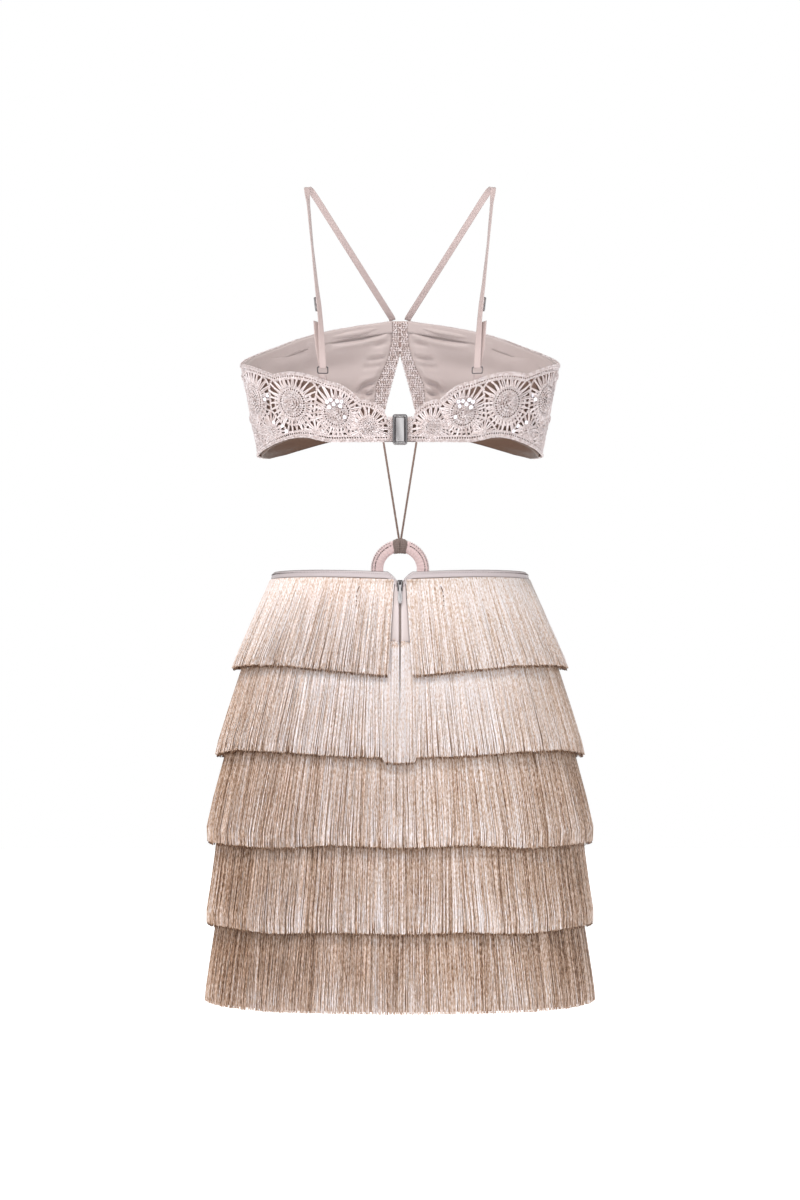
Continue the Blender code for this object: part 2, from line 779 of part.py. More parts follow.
def build_strap_tabs():
    """Short tabs between the rings and the wings' top edge."""
    last, along, _, _ = strap_frame(len(STRAP_ROUTE) - 1)
    foot = last + along * (STRAP_RING_SIZE[1] + SEAM)
    edge = wing_top()
    arcs = [arc for arc, _ in edge]
    heights = [height for _, height in edge]
    t = (foot.z - BAND_BOTTOM) / (BAND_TOP - BAND_BOTTOM)
    half_width = BAND_HALF_WIDTH[0] + (BAND_HALF_WIDTH[1] - BAND_HALF_WIDTH[0]) * t + STRAP_TAB_LAYER[0]
    centre = arc_at(math.degrees(math.acos(foot.x / half_width)))
    low, high = centre - STRAP_TAB_WIDTH / 2, centre + STRAP_TAB_WIDTH / 2
    lower = []
    for i in range(STRAP_TAB_STEPS + 1):
        arc = low + (high - low) * i / STRAP_TAB_STEPS
        lower.append((arc, float(np.interp(arc, arcs, heights)) + STRAP_TAB_GAP))
    outline = [(high, foot.z), (low, foot.z)] + lower
    for name, side in SIDES:
        sheet_solid(f"strap_tab_{name}", band_place(BACK, side), outline, "strap tape", STRAP_TAB_LAYER)


# The ring at the front waist
def ring_point(radius, degrees, y):
    angle = math.radians(degrees)
    return (radius * math.cos(angle), RING_CENTRE[0] + y, RING_CENTRE[1] + radius * math.sin(angle))


def build_waist_ring():
    low, high = RING_RADII
    half = RING_THICKNESS / 2
    soft = RING_SOFTNESS
    section = ((low, -half + soft), (low + soft, -half), (high - soft, -half), (high, -half + soft),
               (high, half - soft), (high - soft, half), (low + soft, half), (low, half - soft))
    rings = [[ring_point(r, 360.0 * i / RING_STATIONS, y) for r, y in section] for i in range(RING_STATIONS)]
    points, faces = sweep(rings, closed=True)
    add_solid("waist_ring", points, faces, "covered ring")


def build_wraps():
    """Sleeves of cloth round the ring: one takes the cords, one is sewn to the waist."""
    steps = WRAP_STEPS
    for name, middle in (("ring_wrap_upper", 90.0), ("ring_wrap_lower", 270.0)):
        outer = RING_RADII[1] + WRAP_CLEARANCE
        inner = RING_RADII[0] - WRAP_CLEARANCE
        half = RING_THICKNESS / 2 + WRAP_CLEARANCE
        shells = []
        for extra in (0.0, WRAP_THICKNESS):
            corners = ((inner - extra, -half - extra), (outer + extra, -half - extra),
                       (outer + extra, half + extra), (inner - extra, half + extra))
            shells.append([
                [ring_point(r, middle + WRAP_HALF_ANGLE * (2.0 * i / steps - 1.0), y) for r, y in corners]
                for i in range(steps + 1)
            ])
        points = [p for shell in shells for ring in shell for p in ring]
        size = 4
        shift = size * (steps + 1)
        faces = []
        for base in (0, shift):
            for row in range(steps):
                for i in range(size):
                    j = (i + 1) % size
                    here = base + row * size
                    faces.append((here + i, here + j, here + size + j, here + size + i))
        for row in (0, steps):
            for i in range(size):
                j = (i + 1) % size
                here = row * size
                faces.append((here + i, here + j, shift + here + j, shift + here + i))
        add_solid(name, points, faces, "wrap")


def build_cords():
    """A cord from each cup's inner corner, straight down to the upper wrap."""
    top_angle = arc_at(KEYHOLE_EDGE[0][0]) - CORD_INSET
    lower_end = RING_CENTRE[1] + RING_RADII[1] + WRAP_CLEARANCE + WRAP_THICKNESS + SEAM
    for name, side in SIDES:
        start = Vector(band_place(FRONT, side)(top_angle, KEYHOLE_EDGE[0][1] - SEAM, sum(TRIM) / 2))
        end = Vector((side * CORD_APART, RING_CENTRE[0], lower_end))
        rings = []
        for row in range(CORD_STATIONS):
            middle = start.lerp(end, row / (CORD_STATIONS - 1))
            rings.append([
                middle + Vector((math.cos(a), math.sin(a), 0.0)) * CORD_RADIUS
                for a in [math.tau * i / CORD_SIDES for i in range(CORD_SIDES)]
            ])
        points, faces = sweep(rings)
        add_solid(f"front_cord_{name}", points, faces, "cord")


# The skirt, as a share of the way round from the centre back
def skirt_sizes(z):
    heights = [row[0] for row in reversed(SKIRT_LEVELS)]
    return [float(np.interp(z, heights, [row[k] for row in reversed(SKIRT_LEVELS)])) for k in (1, 2, 3)]


TURN_ANGLES = np.linspace(0.0, math.tau, 361)


def turn_arcs(z, out):
    """Arc length from the centre back at each angle of one level."""
    half_width, back, front = skirt_sizes(z)
    depth = np.where(np.cos(TURN_ANGLES) > 0.0, back, front) + out
    x = (half_width + out) * np.sin(TURN_ANGLES)
    y = -depth * np.cos(TURN_ANGLES)
    return np.concatenate(([0.0], np.cumsum(np.hypot(np.diff(x), np.diff(y)))))


def skirt_place(share, z, out, split=0.0):
    """A point of the skirt: a share of the way round, between the edges of a centre-back split."""
    half_width, back, front = skirt_sizes(z)
    arcs = turn_arcs(z, out)
    arc = split + (arcs[-1] - 2.0 * split) * share
    angle = float(np.interp(arc, arcs, TURN_ANGLES))
    depth = back if math.cos(angle) > 0.0 else front
    return ((half_width + out) * math.sin(angle), -(depth + out) * math.cos(angle), z)


def wall_strip(name, shares, levels, layer, finish):
    """A curved wall between two shares of the way round, with a row of points at each level."""
    rings = []
    for share in shares:
        outer = [skirt_place(share, z, layer[1]) for z in levels]
        inner = [skirt_place(share, z, layer[0]) for z in reversed(levels)]
        rings.append(outer + inner)
    points, faces = sweep(rings)
    faces = faces[:-2]
    size = 2 * len(levels)
    for first in (0, len(points) - size):
        for i in range(len(levels) - 1):
            faces.append((first + i, first + i + 1, first + size - 2 - i, first + size - 1 - i))
    return add_solid(name, points, faces, finish)


def build_skirt_panels():
    """Two front and two back panels, which meet at the side seams and at both centres."""
    levels = [PANEL_TOP] + [row[0] for row in SKIRT_LEVELS[1:-1]] + [PANEL_HEM]
    whole = turn_arcs(SKIRT_LEVELS[2][0], 0.0)[-1]
    gap = SEAM / 2 / whole
    side = side_share()
    panels = (("skirt_back", ZIP_PARTING / 2 / whole, side - gap), ("skirt_front", side + gap, 0.5 - gap))
    for name, first, last in panels:
        shares = [first + (last - first) * i / PANEL_STEPS for i in range(PANEL_STEPS + 1)]
        mirror = [1.0 - share for share in reversed(shares)]
        wall_strip(f"{name}_right", shares, levels, (0.0, SKIRT_WALL), "skirt cloth")
        wall_strip(f"{name}_left", mirror, levels, (0.0, SKIRT_WALL), "skirt cloth")


def side_share():
    """The share of the way round at which the side seam lies, at hip height."""
    arcs = turn_arcs(SKIRT_LEVELS[2][0], 0.0)
    return float(np.interp(math.pi / 2, TURN_ANGLES, arcs) / arcs[-1])


def build_binding():
    """The waist's bound edge, which dips to the zip at both its ends, outside the panels there."""
    whole = turn_arcs(BINDING_TOP, 0.0)[-1]
    ends = [distance / whole for distance in BINDING_STATIONS]
    rest = [ends[-1] + (1.0 - 2.0 * ends[-1]) * i / BINDING_STEPS for i in range(1, BINDING_STEPS)]
    rings = []
    for share in ends + rest + [1.0 - share for share in reversed(ends)]:
        away = min(share, 1.0 - share) * whole
        dips = away < BINDING_DIP_WIDTH
        fall = BINDING_DIP * (1.0 - smooth_step(away / BINDING_DIP_WIDTH)) if dips else 0.0
        low, high = BINDING_DIP_LAYER if dips else BINDING_LAYER
        top, bottom = BINDING_TOP - fall, BINDING_TOP - BINDING_HEIGHT - fall
        rings.append([skirt_place(share, top, high), skirt_place(share, top, low),
                      skirt_place(share, bottom, low), skirt_place(share, bottom, high)])
    points, faces = sweep(rings)
    add_solid("waist_binding", points, faces, "satin binding")


def hem_height(row, share):
    """The hem's height a share of the way round, the same on both sides."""
    fold = 1.0 - abs(2.0 * share - 1.0)
    return float(np.interp(fold, np.linspace(0.0, 1.0, len(HEMS[row])), HEMS[row]))


def build_tier(row):
    """A narrow strip with flat locks hanging from it, each fused to it at its root alone."""
    root, count, root_split, hem_split, stand_off = TIERS[row]
    strip_foot = root - STRIP_HEIGHT
    closed = root_split == 0.0
    whole = turn_arcs(strip_foot, STRIP_LAYER[0])[-1]
    gap = LOCK_GAP / (whole - 2.0 * root_split)
    points = []
    faces = []

    def strip_ring(share):
        first = len(points)
        for z, out in ((root, STRIP_LAYER[1]), (root, STRIP_LAYER[0]),
                       (strip_foot, STRIP_LAYER[0]), (strip_foot, STRIP_LAYER[1])):
            points.append(skirt_place(share, z, out, root_split))
        return first

    def join(a, b, with_foot):
        faces.append((a, a + 1, b + 1, b))
        faces.append((a + 1, a + 2, b + 2, b + 1))
        faces.append((a + 3, a, b, b + 3))
        if with_foot:
            faces.append((a + 2, a + 3, b + 3, b + 2))

    starts = []
    for i in range(count):
        left = i / count + (gap / 2 if closed or i else 0.0)
        right = (i + 1) / count - (gap / 2 if closed or i < count - 1 else 0.0)
        a, b = strip_ring(left), strip_ring(right)
        starts.append((a, b))
        join(a, b, False)
        sway = LOCK_JITTER * math.sin(JITTER_TURN * i + JITTER_TIER_TURN * row)
        hem = hem_height(row, (left + right) / 2) + sway * JITTER_DOWN
        previous = (a + 2, b + 2, b + 3, a + 3)
        for depth, reach, fullness in LOCK_LEVELS:
            z = strip_foot + (hem - strip_foot) * depth
            split = root_split + (hem_split - root_split) * depth
            out = STRIP_LAYER[0] + (stand_off - LOCK_THICKNESS - STRIP_LAYER[0]) * reach
            out += sway * depth * JITTER_OUT
            thick = LOCK_THICKNESS * fullness
            narrow = gap * LOCK_TAPER * depth
            lean = sway * depth * JITTER_ASIDE
            first = len(points)
            for share, away in ((left + narrow + lean, out), (right - narrow + lean, out),
                                (right - narrow + lean, out + thick), (left + narrow + lean, out + thick)):
                points.append(skirt_place(share, z, away, split))
            for k in range(4):
                m = (k + 1) % 4
                faces.append((previous[k], previous[m], first + m, first + k))
            previous = (first, first + 1, first + 2, first + 3)
        faces.append(previous)
    for (_, b), (a, _) in zip(starts, starts[1:]):
        join(b, a, True)
    if closed:
        join(starts[-1][1], starts[0][0], True)
    else:
        first, last = starts[0][0], starts[-1][1]
        faces.append((first, first + 1, first + 2, first + 3))
        faces.append((last, last + 1, last + 2, last + 3))
    add_solid(TIER_NAMES[row], points, faces, "viscose fringe")


# The zip
def back_place(side):
    """A point near the centre back, from its distance across, height and distance out."""
    def place(x, z, out):
        half_width, back, _ = skirt_sizes(z)
        angle = math.asin(min(1.0, x / (half_width + out)))
        return (side * x, -(back + out) * math.cos(angle), z)
    return place


def build_zip_tapes():
    for name, side in SIDES:
        place = back_place(side)
        sheet_solid(f"zip_tape_{name}", place, TAPE_OUTLINE, "zip tape", TAPE_LAYER, step=TAPE_STEP)


def build_zip_teeth():
    place = back_place(1.0)
    rings = []
    for i in range(TEETH_STATIONS):
        z = TEETH_ENDS[0] + (TEETH_ENDS[1] - TEETH_ENDS[0]) * i / (TEETH_STATIONS - 1)
        half = TEETH_WIDTH / 2
        near = place(0.0, z, TEETH_LAYER[0])[1]
        far = place(0.0, z, TEETH_LAYER[1])[1]
        rings.append([(half, near, z), (-half, near, z), (-half, far, z), (half, far, z)])
    points, faces = sweep(rings)
    add_solid("zip_teeth", points, faces, "zip tape")


def zip_slope():
    """Where the slider sits, and the ways up and out along the skirt's back there."""
    low = Vector(back_place(1.0)(0.0, ZIP_SLIDER_CENTRE - ZIP_SLOPE_REACH, 0.0))
    high = Vector(back_place(1.0)(0.0, ZIP_SLIDER_CENTRE + ZIP_SLOPE_REACH, 0.0))
    up = (high - low).normalized()
    out = Vector((0.0, -up.z, up.y))
    middle = (low + high) / 2 + out * ZIP_SLIDER_OUT
    return middle, up, out


def box_points(centre, up, out, width, height, near, far):
    corners = []
    for v, w in ((-height / 2, near), (height / 2, near), (height / 2, far), (-height / 2, far)):
        corners.append(centre + up * v + out * w)
    side = Vector((width / 2, 0.0, 0.0))
    return [[p - side for p in corners], [p + side for p in corners]]


def build_zip_slider():
    """The slider's body with the small bridge that carries the pull."""
    middle, up, out = zip_slope()
    width, height, depth = ZIP_SLIDER_SIZE
    points, faces = sweep(box_points(middle, up, out, width, height, 0.0, depth))
    body = add_solid("zip_slider", points, faces, "polished metal")
    axis = pull_axis()

    def place(v, w, across):
        return axis + up * v + out * w + Vector((across, 0.0, 0.0))
    arch = sheet_solid("zip_bridge", place, BRIDGE_OUTLINE, "polished metal",
                       (-ZIP_BRIDGE_WIDTH / 2, ZIP_BRIDGE_WIDTH / 2), gaps=[BRIDGE_TUNNEL], step=PLAIN_STEP)
    union = body.modifiers.new("bridge", "BOOLEAN")
    union.operation = "UNION"
    union.solver = "EXACT"
    union.object = arch
    arch.hide_render = True
    arch.display_type = "WIRE"


def pull_axis():
    """The middle of the pull's cross bar, on the joint's axis."""
    middle, up, out = zip_slope()
    return middle + up * (ZIP_BRIDGE_HEIGHT - ZIP_SLIDER_CENTRE) + out * (ZIP_SLIDER_SIZE[2] + PULL_AXIS_OUT)


def build_zip_pull():
    """A teardrop with an eye: its upper edge is the bar that turns in the bridge."""
    _, up, out = zip_slope()
    axis = pull_axis()
    half = PULL_THICKNESS / 2
    right = [(share * PULL_WIDTH, distance) for distance, share in PULL_SHAPE]
    left = [(-u, distance) for u, distance in reversed(right[:-1])]

    def place(u, v, w):
        return Vector((u, 0.0, 0.0)) - up * v + out * w
    pull = sheet_solid("zip_pull", place, right + left, "polished metal", (-half, half),
                       gaps=[PULL_EYE], step=PLAIN_STEP)
    pull.location = pull_axis() * MM


def main():
    clear_scene()
    build_wings()
    build_cups()
    build_clasp()
    build_straps()
    build_sliders()
    build_strap_rings()
    build_strap_tabs()
    build_waist_ring()
    build_wraps()
    build_cords()
    build_skirt_panels()
    build_binding()
    for row in range(len(TIERS)):
        build_tier(row)
    build_zip_tapes()
    build_zip_teeth()
    build_zip_slider()
    build_zip_pull()


main()
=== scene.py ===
# %% [markdown]
# # A crochet mini dress
# The plain model of the dress comes in as a fixed frame, and this notebook gives it its cloth, yarn,
# fringe and metal. The dress hangs from its two shoulder straps with its back to the camera, and keeps
# the hollow form of wear. Each step says what the piece is on the real dress and how it is made here.

# %% Load the frame
import math

import bmesh
import bpy
import numpy as np
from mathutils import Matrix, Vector


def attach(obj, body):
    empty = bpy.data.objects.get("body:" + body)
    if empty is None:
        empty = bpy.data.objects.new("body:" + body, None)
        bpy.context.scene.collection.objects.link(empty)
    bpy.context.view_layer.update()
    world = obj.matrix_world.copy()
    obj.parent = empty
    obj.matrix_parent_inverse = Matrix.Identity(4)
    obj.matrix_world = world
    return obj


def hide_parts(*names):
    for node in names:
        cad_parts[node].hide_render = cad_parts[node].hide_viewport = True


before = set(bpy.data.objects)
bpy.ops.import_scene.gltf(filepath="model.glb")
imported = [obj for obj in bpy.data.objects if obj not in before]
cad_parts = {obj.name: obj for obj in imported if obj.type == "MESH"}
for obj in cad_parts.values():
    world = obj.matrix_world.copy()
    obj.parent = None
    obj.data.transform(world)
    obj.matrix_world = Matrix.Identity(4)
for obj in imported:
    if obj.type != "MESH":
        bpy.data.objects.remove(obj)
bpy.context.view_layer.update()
MM = 0.001
SIDES = (("left", -1.0), ("right", 1.0))
BACK, FRONT = -1.0, 1.0
print("CAD nodes:", len(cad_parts))

# %% [markdown]
# ## Camera
# The photo is taken level, from straight behind the dress and from far away. One pixel of it is one
# millimetre at the middle of the dress, so a camera 4.1 m off needs a 123 mm lens on a 36 mm sensor.

# %% Camera
CAMERA_HEIGHT = -0.413
CAMERA_DISTANCE = 4.1
camera = bpy.data.objects.new("camera", bpy.data.cameras.new("camera"))
camera.location = (0.0, -CAMERA_DISTANCE, CAMERA_HEIGHT)
camera.rotation_euler = (math.radians(90.0), 0.0, 0.0)
camera.data.sensor_width = 36.0
camera.data.lens = 36.0 * CAMERA_DISTANCE / 1.2
camera.data.clip_end = 50.0
bpy.context.collection.objects.link(camera)
bpy.context.scene.camera = camera
print("lens, mm:", round(camera.data.lens, 1))

# %% [markdown]
# ## Materials
# A material is a small tree of nodes. One function adds a node with its settings and links, and one
# turns a colour written as sRGB hex into the linear numbers that Blender works in.

# %% Helpers for materials
def linear(colour):
    """An sRGB hex colour as linear red, green, blue and alpha."""
    parts = [int(colour[i:i + 2], 16) / 255.0 for i in (1, 3, 5)]
    return tuple(c / 12.92 if c <= 0.04045 else ((c + 0.055) / 1.055) ** 2.4 for c in parts) + (1.0,)


def add(tree, kind, inputs=None, **settings):
    """One node, with its settings and what goes into its sockets: a value, or a socket to link."""
    made = tree.nodes.new(kind)
    for name, value in settings.items():
        setattr(made, name, value)
    for name, value in (inputs or {}).items():
        if isinstance(value, bpy.types.NodeSocket):
            tree.links.new(value, made.inputs[name])
        else:
            made.inputs[name].default_value = value
    return made


def finish(name, **values):
    """A new material with its main shader, whose own sockets take the fixed values."""
    made = bpy.data.materials.new(name)
    made.use_nodes = True
    shader = made.node_tree.nodes["Principled BSDF"]
    for socket, value in values.items():
        shader.inputs[socket.replace("_", " ")].default_value = value
    return made, made.node_tree, shader


def maths(tree, operation, *values):
    """The outcome of a sum on numbers or sockets."""
    return add(tree, "ShaderNodeMath", dict(enumerate(values)), operation=operation).outputs[0]


def mix(tree, share, first, second):
    """A colour between two, each a hex colour or a socket."""
    ends = [linear(c) if isinstance(c, str) else c for c in (first, second)]
    made = add(tree, "ShaderNodeMix", {0: share, MIX_A: ends[0], MIX_B: ends[1]}, data_type="RGBA")
    return made.outputs[MIX_RESULT]


def noise(tree, place, scale, detail=2.0):
    return add(tree, "ShaderNodeTexNoise", {"Vector": place, "Scale": scale, "Detail": detail}).outputs["Fac"]


def stretched(tree, place, scale):
    return add(tree, "ShaderNodeMapping", {"Vector": place, "Scale": scale}).outputs[0]


def span(tree, value, low, high, new_low=0.0, new_high=1.0):
    """Moves a value from one range to another."""
    return add(tree, "ShaderNodeMapRange", {0: value, 1: low, 2: high, 3: new_low, 4: new_high}).outputs[0]


def own_place(tree):
    """Place on the object itself, in metres."""
    return add(tree, "ShaderNodeTexCoord").outputs["Object"]


def own_map(tree):
    """Place on the cloth's own flat map, in millimetres."""
    return add(tree, "ShaderNodeUVMap", uv_map="cloth").outputs[0]


def skin(tree, shader, colour, height=None, strength=0.0, distance=0.0002):
    """Gives the shader its colour, and its bumps where it has any."""
    tree.links.new(colour, shader.inputs["Base Color"])
    if height is not None:
        bump = add(tree, "ShaderNodeBump", {"Height": height, "Strength": strength, "Distance": distance})
        tree.links.new(bump.outputs[0], shader.inputs["Normal"])


# the colour sockets of a mix node, by number
MIX_A, MIX_B, MIX_RESULT = 6, 7, 2
print("pale yarn in linear light:", [round(c, 3) for c in linear("#E2D0C8")[:3]])

# %% [markdown]
# ### Crochet yarn
# The bralette is hooked from mercerised cotton: a matt, pinkish cream with a faint lustre. The yarn is
# twisted from plies about 0.5 mm apart. The twist is a stripe that runs round each strand: the strands
# carry how far along they are and how far round, so the stripe follows every loop.

# %% Yarns and threads
def ramp(tree, share, stops):
    """Colours between stops, by a share from 0 to 1."""
    made = add(tree, "ShaderNodeValToRGB", {"Fac": share})
    places = made.color_ramp.elements
    while len(places) < len(stops):
        places.new(0.5)
    for place, (at, colour) in zip(places, stops):
        place.position = at
        place.color = linear(colour)
    return made.outputs["Color"]


def twisted(name, stops, pitch, roughness, sheen, height, grain=0.0):
    """Twisted yarn or cord: colours by the strand's tone, which for the fringe also carries painted shade, and the
    twist of its plies.
    """
    made, tree, shader = finish(name, Roughness=roughness, Sheen_Weight=sheen, Sheen_Roughness=0.5)
    along, around, tone = [add(tree, "ShaderNodeAttribute", attribute_name=label).outputs["Fac"]
                           for label in ("along", "around", "tone")]
    spiral = maths(tree, "ADD", maths(tree, "DIVIDE", along, pitch), around)
    ply = maths(tree, "SINE", maths(tree, "MULTIPLY", spiral, math.tau))
    fuzz = noise(tree, stretched(tree, own_place(tree), (1.0, 1.0, 0.3)), 900.0)
    share = maths(tree, "ADD", tone, span(tree, fuzz, 0.3, 0.7, -grain, grain))
    skin(tree, shader, ramp(tree, share, stops), maths(tree, "ADD", fuzz, ply), height)
    return made


COTTON = twisted("mercerised cotton yarn", ((0.0, "#A99088"), (0.4, "#D6C5C1"), (1.0, "#EFE4E3")),
                 1.1, 0.7, 0.25, 0.5, 0.15)
# The dark end of this ramp is painted shade: the cut ends of the inner threads, the partings and the shaded tiers.
VISCOSE = twisted("viscose fringe thread", ((0.0, "#54300F"), (0.2, "#9C785C"), (0.5, "#CFB29D"),
                                            (0.72, "#E4D3C9"), (1.0, "#F6EFEF")), 1.6, 0.38, 0.1, 0.35, 0.3)
CORD = twisted("waxed cotton cord", ((0.0, "#7A645B"), (1.0, "#927B70")), 2.5, 0.8, 0.0, 0.3)
THREAD = twisted("polyester sewing thread", ((0.0, "#8E7F7B"), (1.0, "#E9DFDD")), 0.6, 0.5, 0.1, 0.4)
DARK_THREAD = twisted("dark sewing thread", ((0.0, "#4A3D38"), (1.0, "#6F615B")), 0.6, 0.5, 0.1, 0.4)
print("yarns:", COTTON.name, VISCOSE.name, CORD.name, THREAD.name)

# %% [markdown]
# ### Woven cloths
# Lining, skirt cloth, tapes and wraps are plain weaves. A weave is two sets of stripes at right angles
# that follow the cloth's own map, which is laid out in millimetres, plus a soft unevenness of colour.
# The real threads are 0.2 to 0.4 mm apart, finer than a pixel, so they are drawn about twice as coarse.
# The bralette's linings are painted darker towards the foot of the band: painted shade, where little light comes in.

# %% Woven cloths
# heights of the map between which a bralette lining is painted into shade
SHADED_FOOT_HEIGHTS = (-236.0, -250.0)


def woven(name, colour, deep, spacing, roughness, sheen, strength, rib=1.0, foot=None):
    """A plain weave on the cloth's own map: warp and weft stripes, a cloudy colour, and maybe a painted shade at its
    foot.
    """
    made, tree, shader = finish(name, Roughness=roughness, Sheen_Weight=sheen, Sheen_Roughness=0.4)
    flat = own_map(tree)
    stripe = {"Vector": stretched(tree, flat, (1.0, rib, 1.0)), "Scale": math.tau / (20.0 * spacing),
              "Distortion": 0.6, "Detail": 1.0}
    warp, weft = [add(tree, "ShaderNodeTexWave", stripe, bands_direction=way).outputs["Fac"] for way in ("X", "Y")]
    weave = maths(tree, "MULTIPLY", warp, weft)
    shaded = mix(tree, weave, deep, mix(tree, noise(tree, flat, 0.06, 3.0), deep, colour))
    if foot:
        height = add(tree, "ShaderNodeSeparateXYZ", {0: flat}).outputs[1]
        shaded = mix(tree, span(tree, height, *SHADED_FOOT_HEIGHTS), shaded, foot)
    skin(tree, shader, shaded, weave, strength)
    return made


LINING_CLOTH = woven("woven polyester lining", "#C8BAB7", "#B7A8A4", 0.5, 0.5, 0.3, 0.25, foot="#5A4030")
# the lining behind the crochet is the same cloth painted darker: painted shade in the crochet's holes
SHADED_BACK_LINING = woven("woven polyester lining behind the crochet", "#9A7F72", "#84695C", 0.5, 0.6, 0.2, 0.25,
                    foot="#5A4030")
SKIRT_CLOTH = woven("plain woven skirt cloth", "#BFA694", "#A88D7A", 0.6, 0.75, 0.2, 0.3)
SATIN = woven("satin binding", "#C2B7B7", "#B2A7A7", 0.5, 0.35, 0.3, 0.2, 0.2)
STRAP_TAPE = woven("woven strap tape", "#C9B8B5", "#B5A29E", 0.6, 0.45, 0.3, 0.4, 3.0)
ZIP_CLOTH = woven("woven zip tape", "#DFD3D1", "#CDC0BE", 0.6, 0.65, 0.2, 0.4)
RING_CLOTH = woven("ring cover of stretch cloth", "#FAE6E4", "#EDD1CF", 0.5, 0.5, 0.4, 0.3)
WRAP_CLOTH = woven("gathered wrap of crepe", "#A6958E", "#7D6C65", 0.5, 0.6, 0.3, 0.4)
print("cloths:", len([m for m in bpy.data.materials if m.name.startswith(("woven", "plain", "satin"))]))

# %% [markdown]
# ### Bed of the fringe, metal and sequins
# Behind the outermost threads lie many more, in their shade. They are one thin wall with fine upright
# stripes, painted darker as that shade. The clasp, rings, slider and zip are nickel-plated zinc, cast and
# polished: a mirror with faint waves. Its rounded rims, and the strap rings and zip slider whole, are less
# glossy and painted dark: a painted reflection of dark surroundings. The sequins are film discs with a
# pearly coat, whose white drifts between rose and blue.

# %% Fringe bed, nickel and film
def fringe_bed():
    """Threads in painted shade, as fine upright stripes that follow the bed's own map."""
    made, tree, shader = finish("viscose fringe bed", Roughness=0.6, Sheen_Weight=0.1)
    stripes = span(tree, noise(tree, stretched(tree, own_map(tree), (1.0, 0.02, 1.0)), 1.3, 4.0), 0.3, 0.7)
    skin(tree, shader, mix(tree, stripes, "#8C6A50", "#D3BBA9"), stripes, 0.8, 0.0006)
    return made


def nickel():
    """Cast and polished metal: bright, with slow waves and a little wear in its gloss."""
    made, tree, shader = finish("nickel-plated zinc", Metallic=1.0)
    wave = noise(tree, stretched(tree, own_place(tree), (1.0, 1.0, 0.35)), 130.0, 1.0)
    tree.links.new(span(tree, wave, 0.0, 1.0, 0.06, 0.2), shader.inputs["Roughness"])
    skin(tree, shader, mix(tree, wave, "#D2CDCE", "#F2F0F1"), wave, 0.15, 0.0004)
    return made


def drifting(name, scale, first, second, **values):
    """A smooth finish whose colour drifts between two."""
    made, tree, shader = finish(name, **values)
    skin(tree, shader, mix(tree, noise(tree, own_place(tree), scale), first, second))
    return made


BED = fringe_bed()
NICKEL = nickel()
# a dark metal for rims, strap rings and the zip slider: a painted dark reflection
DARK_REFLECTION_NICKEL = drifting("nickel with a painted dark reflection", 700.0, "#2E2B2C", "#5A5657", Metallic=1.0, Roughness=0.32)
FILM = drifting("pearly sequin film", 220.0, "#EFEBF8", "#FBFAFC", Roughness=0.12, Coat_Weight=0.6,
                Coat_Roughness=0.05)
print("metal and film:", NICKEL.name, FILM.name)

# %% [markdown]
# ## The form of the dress
# The bralette is cut flat: every point of it has a length along the band, from the side seam to the
# centre, and a height. One function lays such flat points round the body, at a distance out from the
# lining. The skirt has its own: a share of the way round from the zip, a height and a distance out.

# %% The band of the bralette
BAND_BOTTOM, BAND_TOP = -270.0, -180.0
BAND_HALF_WIDTH = (138.5, 155.5)
BAND_DEPTH = {BACK: (93.0, 96.0), FRONT: (93.0, 87.0)}
CUP_HEIGHT, CUP_SPREAD, CUP_RISE, CUP_DROP = 26.0, 52.0, 62.0, 35.0
CUP_CENTRE = (84.0, -214.0)
ANGLES = np.linspace(0.0, math.pi / 2, 181)
ARCS = np.concatenate(([0.0], np.cumsum(np.hypot(np.diff(151.0 * np.cos(ANGLES)),
                                                 np.diff(96.0 * np.sin(ANGLES))))))
BAND_ARC = float(ARCS[-1])


def arc_at(degrees):
    """Length along the band at an angle from the side seam."""
    return np.interp(np.radians(degrees), ANGLES, ARCS)


def smooth(t):
    """A soft step from 0 to 1."""
    t = np.clip(t, 0.0, 1.0)
    return t * t * (3.0 - 2.0 * t)


def band(face, side):
    """A function that lays flat points of the band on the body."""
    def place(arc, z, out):
        angle = np.interp(arc, ARCS, ANGLES)
        t = np.clip((z - BAND_BOTTOM) / (BAND_TOP - BAND_BOTTOM), 0.0, 1.6)
        low, high = BAND_HALF_WIDTH
        x = (low + (high - low) * t + out) * np.cos(angle)
        near, far = BAND_DEPTH[face]
        y = (near + (far - near) * t + out) * np.sin(angle)
        if face == FRONT:
            rise = np.where(z > CUP_CENTRE[1], CUP_RISE, CUP_DROP)
            fall = ((x - CUP_CENTRE[0]) / CUP_SPREAD) ** 2 + ((z - CUP_CENTRE[1]) / rise) ** 2
            y = y + CUP_HEIGHT * np.exp(-fall) * smooth(angle / 0.45)
        return np.stack([side * x, face * y, z + 0.0 * x], axis=-1)
    return place


print("half the band is", round(BAND_ARC, 1), "mm long")

# %% [markdown]
# The skirt's section is two half ellipses, a deeper one at the back. Its sizes are known at six heights.
# A table holds, for each height, the angles that lie at even steps along the cloth, so that threads and
# seams keep their spacing where the section bends sharply.

# %% The skirt
SKIRT_LEVELS = np.array((
    # height, half width, depth to the back, depth to the front
    (-790.0, 181.0, 134.0, 115.0),
    (-711.0, 177.0, 133.0, 113.0),
    (-627.0, 176.5, 132.0, 109.0),
    (-541.0, 164.5, 127.0, 103.0),
    (-456.0, 146.5, 112.0, 94.0),
    (-386.0, 125.0, 96.0, 84.5),
))
TURN = np.linspace(0.0, math.tau, 361)
TABLE_HEIGHTS = np.linspace(-830.0, -380.0, 91)
HIP_HEIGHT, WAIST_HEIGHT = -541.0, -385.0


def skirt_sizes(z):
    """Half width and the two depths at a height."""
    return [np.interp(z, SKIRT_LEVELS[:, 0], SKIRT_LEVELS[:, k]) for k in (1, 2, 3)]


